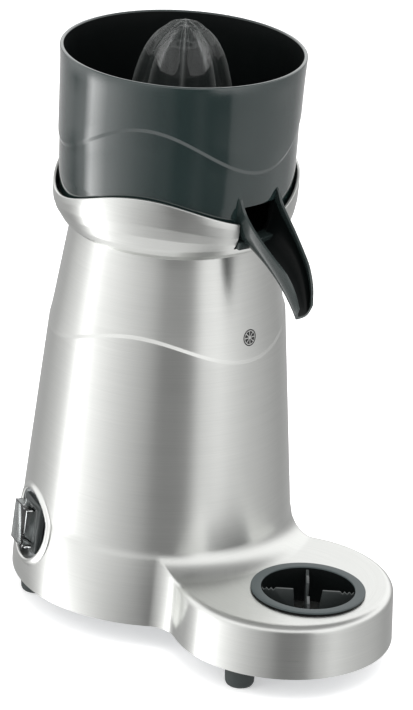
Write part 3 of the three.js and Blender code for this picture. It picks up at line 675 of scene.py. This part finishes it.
# ---- the column and its collar ----
def make_column():
    wave = (WAIST_SWING, LOWER_SLOPE)
    edge = COLLAR_SWING
    corner_r = upper_cone(COLLAR_LOW_Z)
    under = DECK_Z - DECK_THICK
    line = [
        (lower_cone(JOIN_Z), JOIN_Z, 0, 0, LOWER_SLOPE),
        (lower_cone(130), 130, 0, 0, LOWER_SLOPE),
        (lower_cone(170), 170, 0, *wave),
        (lower_cone(WAIST_Z - 6), WAIST_Z - 6, 0, *wave),
        (lower_cone(WAIST_Z - 1.0), WAIST_Z - 1.0, 1.6, *wave),
        (upper_cone(WAIST_Z + 1.0) + 0.2, WAIST_Z + 1.0, 1.6, WAIST_SWING, UPPER_SLOPE),
        (upper_cone(WAIST_Z + 12), WAIST_Z + 12, 0, WAIST_SWING, UPPER_SLOPE),
        (upper_cone(230), 230, 0, 0, UPPER_SLOPE),
        (corner_r, COLLAR_LOW_Z, 0.7, 0, 0),
        (corner_r + 2.2, COLLAR_LOW_Z + 1, 1.4, 0, 0),
        (68.9, 253.2, 4, 0, 0),
        (71.4, 257.2, 6, 0, 0),
        (73.6, 263, 9, edge / 4, 0),
        (74.9, 269, 9, edge / 2, 0),
        (COLLAR_R, 276, 6, edge * 0.8, 0),
        (COLLAR_R, COLLAR_Z, 0.7, edge, 0),
        (COLLAR_R - 1.8, COLLAR_Z, 0.7, edge, 0),
        (COLLAR_R - 1.9, 274, 3, edge * 0.8, 0),
        (70.8, 262, 6, edge / 4, 0),
        (67.4, DECK_Z, 2.5, 0, 0),
        (SEAL_R, DECK_Z, 0.4, 0, 0),
        (SEAL_R, under, 0.4, 0, 0),
        (60, under, 3, 0, 0),
        (64.6, 240, 3, 0, 0),
        (lower_cone(110) - WALL, 110, 0, 0, 0),
        (lower_cone(JOIN_Z) - WALL, JOIN_Z, 0, 0, 0),
    ]
    made = lathe(fine_profile(line, 6, 7), 216, closed=True)
    piece = new_piece("shell_column", *made, "housing", "brushed_shell", SHELL, crease=40)
    carve(piece, *block(-NOTCH_HALF, NOTCH_HALF, -90, -50, NOTCH_Z, COLLAR_Z + 20), crease=40)
    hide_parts("housing_shell")


# ---- bowl and spout ----
def spline(rows, steps):
    """A smooth line through rows of numbers (Catmull-Rom)."""
    rows = [np.array(r, float) for r in rows]
    ends = [2 * rows[0] - rows[1], *rows, 2 * rows[-1] - rows[-2]]
    line = []
    for i in range(1, len(ends) - 2):
        p0, p1, p2, p3 = ends[i - 1 : i + 3]
        for s in range(steps):
            t = s / steps
            line.append(
                0.5 * (2 * p1 + (p2 - p0) * t + (2 * p0 - 5 * p1 + 4 * p2 - p3) * t**2
                       + (3 * p1 - p0 - 3 * p2 + p3) * t**3)
            )
    return line + [rows[-1]]


# Forward and height of the floor, forward and height of the rim, and half width.
SPOUT_STATIONS = [
    (68, 257.6, 70.4, 290.5, 16.9),
    (71.5, 257.4, 72.6, 287.6, 16.8),
    (76.5, 257.2, 75.4, 281.8, 16.6),
    (84, 254.4, 82, 274.4, 16.2),
    (93.5, 248.6, 90, 267, 15),
    (102, 241, 98.4, 259.4, 13.2),
    (108, 232.5, 106.4, 252, 11),
    (111, 226.5, 112.4, 242, 8.8),
    (112.2, 222.6, 115.4, 231, 6.8),
]


def spout_section(station, inset, turns=16):
    """A U across the spout, from the left rim round the floor to the right rim."""
    floor_y, floor_z, rim_y, rim_z, half = station
    down = np.array((floor_y - rim_y, floor_z - rim_z))
    deep = np.linalg.norm(down)
    down /= deep
    rows = []
    for i in range(turns + 1):
        turn = math.pi * i / turns
        c, s = math.cos(turn), math.sin(turn)
        x = -(half - inset) * math.copysign(abs(c) ** 0.5, c)
        depth = (deep - inset) * abs(s) ** 0.8
        rows.append((x, -(rim_y + down[0] * depth), rim_z + down[1] * depth))
    return rows


def make_bowl():
    swing = BOWL_SWING
    line = [
        (CHIMNEY_R, 256.6, 0, 0, 0), (62, 255, 2, 0, 0), (65.4, 256.4, 2, 0, 0), (68.6, 262, 3, 0, 0),
        (71, 270, 6, 0, 0), (72.2, 284, 6, 0, 0), (72.5, 300, 0, swing / 2, 0),
        (72.75, BOWL_WAVE_Z - 1.2, 1.5, swing, 0), (73.65, BOWL_WAVE_Z + 1.4, 1.5, swing, 0),
        (74, 336, 0, swing / 2, 0), (74.5, 352, 0, 0, 0), (RIM_R, RIM_Z, 1.1, 0, 0),
        (RIM_R - 2.5, RIM_Z, 1.1, 0, 0), (71.4, 330, 3, 0, 0), (70, STRAINER_Z, 0.4, 0, 0),
        (68.4, STRAINER_Z - 0.3, 0.6, 0, 0), (67, 268, 3, 0, 0), (63.4, 260.8, 4, 0, 0),
        (CHIMNEY_R + 2.2, 262.6, 2, 0, 0), (CHIMNEY_R + 1.9, CHIMNEY_Z, 0.5, 0, 0),
        (CHIMNEY_R, CHIMNEY_Z, 0.5, 0, 0),
    ]
    made = lathe(fine_profile(line, 5, 8), 180, closed=True)
    piece = new_piece("bowl", *made, "bowl", "bowl_plastic", [BOWL, INSIDE_PAINTED_SHADE], crease=40)
    outlet = block(-OUTLET_HALF, OUTLET_HALF, -82, -58, OUTLET_LOW_Z, OUTLET_HIGH_Z)
    carve(piece, *outlet, crease=40)
    # Inward faces below the rim, and faces near the centre, take the darker copy: painted shade.
    dark = []
    for polygon in piece.data.polygons:
        at = polygon.center * 1000 - Vector((0, AXIS_Y, 0))
        inward = polygon.normal.x * at.x + polygon.normal.y * at.y < 0
        dark.append(1 if inward and at.z < RIM_Z - 0.8 or math.hypot(at.x, at.y) < 66 else 0)
    piece.data.polygons.foreach_set("material_index", dark)
    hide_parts("juice_bowl")


def make_spout():
    thick = 2.0
    rows = []
    for station in spline(SPOUT_STATIONS, 5):
        outer = spout_section(station, 0)
        inner = spout_section(station, thick)
        right = tuple(np.add(outer[-1], (-thick / 2, 0, 0.7)))
        left = tuple(np.add(outer[0], (thick / 2, 0, 0.7)))
        rows.append(outer + [right] + inner[::-1] + [left])
    count = len(rows[0])
    points = [p for row in rows for p in row]
    faces = grid_faces(len(rows), count)
    half = (count - 2) // 2
    for start in (0, (len(rows) - 1) * count):
        for i in range(half - 1):
            faces.append([start + i, start + i + 1, start + count - 3 - i, start + count - 2 - i])
        faces.append([start + half - 1, start + half, start + half + 1])
        faces.append([start, start + count - 2, start + count - 1])
    piece = new_piece("spout", points, faces, "bowl", "bowl_plastic", [SPOUT, INSIDE_PAINTED_SHADE], crease=50)
    # The inner faces of the spout's channel take the darker copy of the plastic: painted shade.
    painted_shade_faces = []
    for i in range(len(rows) - 1):
        painted_shade_faces += [1 if half + 1 < j < count - 2 else 0 for j in range(count)]
    painted_shade_faces += [0] * (len(piece.data.polygons) - len(painted_shade_faces))
    piece.data.polygons.foreach_set("material_index", painted_shade_faces)
    fix_normals(piece)


def make_root():
    """The block that closes the collar's slot below the spout."""
    turns = [math.radians(-13 + 2 * i) for i in range(14)]
    outline = [(75.4 * math.sin(t), -75.4 * math.cos(t)) for t in turns]
    outline += [(66 * math.sin(t), -66 * math.cos(t)) for t in reversed(turns)]
    made = prism(outline, NOTCH_Z + 0.5, NOTCH_Z + 5.3, Matrix())
    piece = new_piece("spout_root", *made, "bowl", "bowl_plastic", SPOUT)
    fix_normals(piece)
    bevel(piece, 0.5)


# ---- strainer and reamer ----
def make_strainer():
    top = STRAINER_Z + 2.3
    line = [
        (20, 296.6, 0), (60, 302, 1), (62, 303.3, 0.8), (STRAINER_R, 303.3, 0.4), (STRAINER_R, top, 0.6),
        (61, top, 1), (59, top - 1.6, 1), (22.4, 299, 1), (22.4, 302.5, 0.5), (20, 302.5, 0.5),
    ]
    made = lathe(rounded(line, 4), 120, closed=True)
    piece = new_piece("sieve", *made, "strainer", "black_plastic", BLACK)
    cutters = []
    for i in range(STRAINER_SLOTS):
        turn = Matrix.Rotation(2 * math.pi * i / STRAINER_SLOTS, 4, "Z")
        cutters.append(block(27, 40, -1.1, 1.1, 290, 310, turn))
        cutters.append(block(44, 57, -1.6, 1.6, 290, 310, turn))
    carve(piece, *several(*cutters))
    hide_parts("strainer")


# Depth below the tip and radius over the ribs.
REAMER_LINE = [
    (0.4, 1.6), (1.4, 5.4), (3.2, 9.8), (6.4, 14.8), (11, 19.2), (17.5, 23.2), (25, 26.3), (33, 28.6),
    (44, 31), (REAMER_DEEP, 32.6),
]


def make_cone():
    """The ribbed cone with its flange, hollow underneath."""
    sides = RIBS * RIB_STEPS
    turns = [2 * math.pi * j / sides - 3 * math.pi / 4 for j in range(sides)]
    # How deep each side lies in the groove: 0 on a rib, 1 in the valley.
    halfway = [abs(((j / RIB_STEPS + 0.5) % 1) - 0.5) * 2 for j in range(sides)]
    falls = [1 - (1 - min(1.0, share * 1.35)) ** 2.6 for share in halfway]

    def ring(radii, z):
        return [(r * math.cos(turn), r * math.sin(turn), z) for r, turn in zip(radii, turns)]

    line = spline(REAMER_LINE, 4)
    low = TIP_Z - REAMER_DEEP
    edge_r = REAMER_FLANGE_R - 0.4
    points = []
    for depth, r in line:
        groove = min(5.2, r * 0.34) * min(1.0, (60 - depth) / 12)
        points += ring([r - groove * fall for fall in falls], TIP_Z - depth)
    for r, z in (
        (edge_r, low), (REAMER_FLANGE_R, low - 0.4), (REAMER_FLANGE_R, low - 2.1), (edge_r, low - 2.5),
        (30, low - 2.5),
    ):
        points += ring([r] * sides, z)
    for depth, r in reversed(line[6:]):
        groove = min(4.6, r * 0.32) * min(1.0, (60 - depth) / 12)
        points += ring([max(1.0, r - groove - 2.2)] * sides, TIP_Z - depth - 2.0)
    rows = len(points) // sides
    faces = grid_faces(rows, sides)
    tip, under = len(points), len(points) + 1
    points += [(0, 0, TIP_Z), (0, 0, TIP_Z - line[6][0] - 2.4)]
    last = (rows - 1) * sides
    faces += [(tip, (j + 1) % sides, j) for j in range(sides)]
    faces += [(under, last + j, last + (j + 1) % sides) for j in range(sides)]
    piece = new_piece("cone", points, faces, "reamer", "smoky_plastic", SMOKY, crease=50)
    fix_normals(piece, 50)
    return piece


def make_socket():
    """The socket that goes down over the drive hexagon."""
    top = 364
    line = [
        (SOCKET_BORE_R, SOCKET_LOW_Z, 0.4), (SOCKET_R, SOCKET_LOW_Z, 0.6), (SOCKET_R, top, 0),
        (SOCKET_BORE_R, top, 0),
    ]
    new_piece("socket", *lathe(rounded(line, 3), 48, closed=True), "reamer", "smoky_plastic", SMOKY)


def make_fins():
    """Two thin crossed fins over the tip, in line with four of the ribs."""
    over = ((14, 19.4), (9, 15), (5, 9.4), (2.4, 4.8), (0.7, 1.4))
    outline = [(-reach * 0.98, TIP_Z - depth + 0.6) for depth, reach in over]
    outline += [(-x, z) for x, z in reversed(outline)]
    low_line = [(x * 0.9, z - 2.6) for x, z in reversed(outline)]
    stand = Matrix.Rotation(math.radians(45), 4, "Z") @ Matrix.Rotation(math.pi / 2, 4, "X")
    fins = several(*[
        prism(outline + low_line, -0.45, 0.45, Matrix.Rotation(q * math.pi / 2, 4, "Z") @ stand)
        for q in (0, 1)
    ])
    fix_normals(new_piece("fins", *fins, "reamer", "smoky_plastic", SMOKY))


def make_reamer():
    piece = make_cone()
    make_socket()
    make_fins()
    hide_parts("reamer")


# ---- drip cup ----
def make_cup():
    top = PLATFORM_Z + 1.8
    line = [
        (0.01, CUP_FLOOR_Z - 2, 0), (29, CUP_FLOOR_Z - 2, 2), (30.2, CUP_FLOOR_Z, 2), (CUP_R, 48.6, 0.5),
        (CUP_R, PLATFORM_Z + 0.3, 0.2), (CUP_FLANGE_R, PLATFORM_Z + 0.3, 0.3),
        (CUP_FLANGE_R, top, 1.0), (CUP_MOUTH_R, top, 0.7), (CUP_MOUTH_R - 0.2, 50, 0.5),
        (CUP_MOUTH_R - 2.2, CUP_FLOOR_Z, 2), (0.01, CUP_FLOOR_Z, 0),
    ]
    made = lathe(rounded(line, 5), 120, centre=(0, -CUP_REACH))
    piece = new_piece("cup", *made, "drip_cup", "bowl_plastic", [RING, INSIDE_PAINTED_SHADE])
    # The cup below the platform's top takes the darker copy of the plastic: painted shade in its hole.
    dark = [1 if p.center.z * 1000 < PLATFORM_Z + 0.9 else 0 for p in piece.data.polygons]
    piece.data.polygons.foreach_set("material_index", dark)
    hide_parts("drip_cup")


def make_vanes():
    top, low = PLATFORM_Z + 0.4, CUP_FLOOR_Z + 0.3
    reach = CUP_MOUTH_R - 0.7
    half = [(7, 34), (9, top)]
    for tooth in (0, 1, 2):
        x = reach - 8.4 + tooth * 2.8
        half += [(x, top), (x + 1.4, top - 1.6)]
    half += [(reach, top), (CUP_MOUTH_R - 3, low)]
    outline = [(-x, z) for x, z in reversed(half)] + half
    parts = []
    for turn in (45, -45):
        stand = Matrix.Translation((0, -CUP_REACH, 0)) @ Matrix.Rotation(math.radians(turn), 4, "Z")
        parts.append(prism(outline, -0.9, 0.9, stand @ Matrix.Rotation(math.pi / 2, 4, "X")))
    piece = new_piece("vanes", *several(*parts), "drip_grid", "black_plastic", BLACK)
    fix_normals(piece)
    bevel(piece, 0.22, 2)
    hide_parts("drip_grid")


# ---- switch ----
def make_lip():
    """The rounded rim of the switch's hole, following the wall it stands on."""
    turns = np.linspace(0, 2 * math.pi, 120, endpoint=False)
    v, w = RING_R * np.cos(turns), RING_R * np.sin(turns)
    low, high = np.full_like(v, -12.0), np.full_like(v, 16.0)
    for _ in range(24):
        u = (low + high) / 2
        at = np.array([switch_place @ Vector(p) for p in zip(u, v, w)])
        inside = wall_field(*at.T) < 0
        low, high = np.where(inside, u, low), np.where(inside, high, u)
    line = [
        (-2.0, -9.0), (-2.0, 0.4), (-1.9, 1.0), (-1.5, 1.45), (-0.9, 1.6), (-0.2, 1.45), (0.5, 1.0),
        (1.2, 0.45), (2.0, 0.1), (2.8, -0.15), (2.8, -2.0), (-0.4, -9.0),
    ]
    points = [
        switch_place @ Vector((rise + up, (RING_R + out) * math.cos(t), (RING_R + out) * math.sin(t)))
        for out, up in line
        for t, rise in zip(turns, low)
    ]
    faces = grid_faces(len(line), len(turns), wrap_rows=True)
    lip = new_piece("switch_lip", points, faces, "housing", "brushed_shell", SHELL, crease=50)
    fix_normals(lip, 50)


def centred(low, high, wide, tall):
    """A block on the switch's axis, from one depth to another, by its half width and height."""
    return block(low, high, -wide, wide, -tall, tall, switch_place)


def make_disc():
    """The zinc disc behind the rocker's frame."""
    disc_r = 22.1
    line = [(0.01, -2.7, 0), (disc_r - 0.2, -2.7, 0.3), (disc_r, -1.1, 0.4), (0.01, -1.1, 0)]
    points, faces = lathe(rounded(line, 3), 96)
    plate = new_piece("switch_disc", moved(points, turn_out), faces, "housing", "zinc_plate", PLATE)
    fix_normals(plate)
    carve(plate, *centred(-6, 6, 10.9, 13.4))
    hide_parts("switch_plate")


def make_bezel():
    """The rocker's frame, standing proud of the disc."""
    bezel = new_piece("bezel", *centred(BEZEL_LOW, BEZEL_TOP, 13.5, 16), "housing", "black_plastic", BLACK)
    fix_normals(bezel)
    bevel(bezel, 1.3, 3)
    carve(bezel, *centred(-2.5, BEZEL_TOP + 4.6, 7.6, 11.6))
    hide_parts("switch_bezel")


def make_key():
    """The rocker with its dished face."""
    high, proud, back, tip = 10.8, 3.6, -2.4, 10
    curve = [
        (proud - 1.5 * math.sin(math.pi * (i + 0.5) / 11), -high + 2 * high * i / 10) for i in range(11)
    ]
    outline = [(back, -high + 1)] + curve + [(back, high - 1)]
    tilt = switch_place @ Matrix.Translation((-1.2, 0, 0)) @ Matrix.Rotation(-math.radians(tip), 4, "Y")
    made = prism(outline, -7.1, 7.1, tilt @ Matrix.Rotation(math.pi / 2, 4, "X"))
    key = new_piece("key", *made, "rocker", "black_plastic", BLACK)
    fix_normals(key)
    bevel(key, 0.5, 3)
    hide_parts("rocker")


def make_cap():
    """The clear splash cover, a thin box open towards the frame."""
    near, deep, wide, tall, thin = BEZEL_TOP + 0.6, 7.0, 9.8, 13.0, 1
    cover = new_piece("cap", *centred(near, near + deep, wide, tall), "housing", "clear_plastic", CLEAR)
    fix_normals(cover)
    bevel(cover, 0.5, 2)
    carve(cover, *centred(near - 1, near + deep - thin, wide - thin, tall - thin))
    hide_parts("splash_cover")


def make_switch():
    make_lip()
    make_disc()
    make_bezel()
    make_key()
    make_cap()


# ---- a plain citrus-slice mark on the column ----
def make_mark():
    height, size, rind, pith = 196.5, 5.2, 0.86, 0.14
    count, slices = 48, 8
    turns = np.linspace(0, 2 * math.pi, count, endpoint=False)
    rim = [(size * math.cos(turn), size * math.sin(turn)) for turn in turns]
    inner = [(rind * x, rind * y) for x, y in rim]
    parts = [(rim + inner, grid_faces(2, count))]
    for i in range(slices):
        middle = 2 * math.pi * (i + 0.5) / slices
        wedge = [(pith * size * math.cos(middle), pith * size * math.sin(middle))]
        for k in range(7):
            angle = middle + math.radians(-18 + 6 * k)
            wedge.append((0.76 * size * math.cos(angle), 0.76 * size * math.sin(angle)))
        parts.append((wedge, [tuple(range(len(wedge)))]))
    flat, faces = several(*parts)
    points = []
    for x, up in flat:
        r = upper_cone(height + up) + 0.06
        points.append((r * math.sin(x / r), -r * math.cos(x / r), height + up))
    piece = new_piece("slice_mark", points, faces, "housing", "black_plastic", INK)
    fix_outward(piece)


def fix_outward(piece):
    """Turns each face of a thin decal away from the column's axis."""
    work = bmesh.new()
    work.from_mesh(piece.data)
    for face in work.faces:
        face.normal_update()
        at = face.calc_center_median()
        if face.normal.x * at.x + face.normal.y * (at.y - AXIS_Y / 1000) < 0:
            face.normal_flip()
    work.to_mesh(piece.data)
    work.free()


# ---- feet and gland ----
def make_feet():
    for i in (1, 2, 3, 4):
        low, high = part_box(f"foot_{i}")
        x, y = 500 * (low.x + high.x), 500 * (low.y + high.y) - AXIS_Y
        line = [
            (2.3, 6, 0), (5.2, 6, 0.4), (5.2, 0, 0.4), (8.0, 0, 1.0), (8.9, 1.8, 2.0), (9.8, 17.2, 0.3),
            (2.3, 17.2, 0),
        ]
        made = lathe(rounded(line, 4), 64, centre=(x, y), closed=True)
        foot = new_piece(f"rubber_foot_{i}", *made, "housing", "rubber", RUBBER)
        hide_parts(f"foot_{i}")


def make_gland():
    face = skirt_cone(GLAND_Z - GLAND_FLANGE_R)
    out = Matrix.Translation((0, face, GLAND_Z)) @ Matrix.Rotation(-math.pi / 2, 4, "X")
    line = [
        (CORD_R, -14, 0.3), (8, -14, 0.3), (8, 0.3, 0), (GLAND_FLANGE_R, 0.3, 0.3),
        (GLAND_FLANGE_R, 3.4, 0.9), (8.5, 4, 0.8), (8.1, 5.4, 0.3), (7.6, 5.9, 0.3), (7.6, 6.7, 0.3),
        (7.5, 7.6, 0.3), (7.1, 8.1, 0.3), (7.1, 9.0, 0.3), (6.6, GLAND_OUT, 0.8), (CORD_R, GLAND_OUT, 0.6),
    ]
    points, faces = lathe(rounded(line, 4), 64, closed=True)
    piece = new_piece("cord_gland", moved(points, out), faces, "housing", "black_plastic", BLACK)
    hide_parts("cable_gland")


# ---- camera, lights and floor ----
CAMERA_AT = (-1.59239, -1.55164, 1.10628)
CAMERA_TURNS = (-45.643, 22.743, 3.717)  # degrees round from the front, up, and rolled
LENS = 198.8


def make_camera():
    azimuth, elevation, roll = (math.radians(turn) for turn in CAMERA_TURNS)
    level = math.cos(elevation)
    back = Vector((math.sin(azimuth) * level, -math.cos(azimuth) * level, math.sin(elevation)))
    right = Vector((math.cos(azimuth), math.sin(azimuth), 0))
    up = back.cross(right)
    turned_right = right * math.cos(roll) + up * math.sin(roll)
    turned_up = up * math.cos(roll) - right * math.sin(roll)
    lens = bpy.data.cameras.new("camera")
    lens.lens = LENS
    lens.sensor_width = 36
    lens.clip_start, lens.clip_end = 0.05, 60
    camera = bpy.data.objects.new("camera", lens)
    bpy.context.scene.collection.objects.link(camera)
    facing = Matrix([list(row) for row in zip(turned_right, turned_up, back)]).to_4x4()
    camera.matrix_world = Matrix.Translation(CAMERA_AT) @ facing
    bpy.context.scene.camera = camera


def panel(name, turn, high, away, wide, tall, power):
    """A soft light at an angle round from the front (-Y), facing the press; its glow is in the
    surroundings that gloss reflects, so it isn't reflected itself."""
    lamp = bpy.data.lights.new(name, "AREA")
    lamp.shape = "RECTANGLE"
    lamp.size, lamp.size_y = wide, tall
    lamp.energy = power
    holder = bpy.data.objects.new(name, lamp)
    bpy.context.scene.collection.objects.link(holder)
    angle = math.radians(turn)
    spot = Vector((away * math.sin(angle), -away * math.cos(angle), high))
    holder.location = spot
    holder.rotation_mode = "QUATERNION"
    holder.rotation_quaternion = (spot - Vector((0, 0, 0.2))).to_track_quat("Z", "Y")
    holder.visible_camera = False
    holder.visible_glossy = False


# Brightness of the softboxes and dark flags round the press, by degrees round from the front:
# level with it, and lower, where upright walls reflect them to a viewer who looks down.
LEVEL_RING = [
    (-180, 0.5), (-158, 0.9), (-143, 1.1), (-135, 1.45), (-126, 1.45), (-118, 1.15), (-104, 1.05),
    (-84, 0.8), (-65, 0.54), (-56, 0.33), (-48, 0.12), (-29, 0.11), (-21, 0.2), (-15, 0.7),
    (-9, 1.18), (8, 1.22), (20, 0.92), (37, 0.66), (63, 0.46), (90, 0.38), (130, 0.5), (180, 0.5),
]
LOW_RING = [
    (-180, 0.4), (-163, 0.28), (-147, 0.9), (-137, 4.2), (-130, 3.4), (-118, 1.8), (-100, 1.1),
    (-84, 0.65), (-65, 0.32), (-55, 0.27), (-46, 0.12), (-36, 0.12), (-26, 0.22), (-16, 0.12),
    (2, 0.16), (5, 0.5), (12, 0.6), (26, 0.62), (67, 0.58), (90, 0.4), (130, 0.5), (180, 0.4),
]
# The brightest light, and the rest of the surroundings as shares of it.
SURROUND_TOP = 4.2
PAPER, FILL, FLOOR_GLOW, CEILING, DARK_CEILING = 0.36, 0.3, 0.25, 0.32, 0.08


def eased(tree, value, low, high):
    """0 below low, 1 above high, and smooth between them."""
    node = tree.nodes.new("ShaderNodeMapRange")
    node.interpolation_type = "SMOOTHSTEP"
    node.inputs["From Min"].default_value = low
    node.inputs["From Max"].default_value = high
    tree.links.new(value, node.inputs["Value"])
    return node.outputs["Result"]


def make_surroundings():
    """White paper to the camera; to gloss, a ring of soft lights and flags under a pale ceiling."""
    world = bpy.data.worlds.new("studio")
    bpy.context.scene.world = world
    world.use_nodes = True
    sky = world.node_tree
    way = sky.nodes.new("ShaderNodeSeparateXYZ")
    sky.links.new(sky.nodes.new("ShaderNodeTexCoord").outputs["Generated"], way.inputs[0])
    round_from_front = math_node(
        sky, "ARCTAN2", way.outputs["X"], math_node(sky, "MULTIPLY", way.outputs["Y"], -1.0)
    )
    share = math_node(sky, "MULTIPLY_ADD", round_from_front, 1 / (2 * math.pi))
    share.node.inputs[2].default_value = 0.5
    rings = []
    for lights in (LEVEL_RING, LOW_RING):
        ring = sky.nodes.new("ShaderNodeValToRGB")
        sky.links.new(share, ring.inputs["Fac"])
        stops = ring.color_ramp.elements
        while len(stops) < len(lights):
            stops.new(0.5)
        for stop, (turn, light) in zip(stops, lights):
            stop.position = turn / 360 + 0.5
            stop.color = (light / SURROUND_TOP,) * 3 + (1,)
        rings.append(ring.outputs["Color"])
    down = math_node(sky, "MULTIPLY", way.outputs["Z"], -1.0)
    seen = mix_colour(sky, eased(sky, down, 0.325, 0.37), *rings)
    seen = mix_colour(sky, eased(sky, down, 0.6, 0.85), seen, (FLOOR_GLOW,) * 3)
    seen = mix_colour(sky, eased(sky, way.outputs["Z"], 0.02, 0.3), seen, (CEILING,) * 3)
    seen = mix_colour(sky, eased(sky, way.outputs["Z"], 0.55, 0.8), seen, (DARK_CEILING,) * 3)
    path = sky.nodes.new("ShaderNodeLightPath")
    colour = mix_colour(sky, path.outputs["Is Glossy Ray"], (FILL,) * 3, seen)
    colour = mix_colour(sky, path.outputs["Is Camera Ray"], colour, (PAPER,) * 3)
    sky.links.new(colour, sky.nodes["Background"].inputs["Color"])
    sky.nodes["Background"].inputs["Strength"].default_value = SURROUND_TOP


def make_studio():
    material, _, shader = start_material("floor_paper", Roughness=0.9)
    shader.inputs["Base Color"].default_value = (0.93, 0.93, 0.93, 1)
    shader.inputs["Emission Color"].default_value = (1, 1, 1, 1)
    shader.inputs["Emission Strength"].default_value = 0.3
    floor = bpy.data.meshes.new("floor")
    floor.from_pydata([(-9, -9, 0), (9, -9, 0), (9, 9, 0), (-9, 9, 0)], [], [(0, 1, 2, 3)])
    floor.materials.append(material)
    ground = bpy.data.objects.new("floor", floor)
    bpy.context.scene.collection.objects.link(ground)
    ground.visible_glossy = False
    make_surroundings()
    panel("key", -112, 1.2, 2.2, 1.3, 2.0, 22)
    panel("side", 70, 0.9, 2.6, 1.2, 1.8, 10)
    panel("top", -30, 3.0, 0.8, 2.2, 2.2, 30)


make_camera()
make_foot()
make_column()
make_bowl()
make_spout()
make_root()
make_strainer()
make_reamer()
make_cup()
make_vanes()
make_switch()
make_mark()
make_feet()
make_gland()
make_studio()
bpy.context.scene.view_settings.view_transform = "Standard"
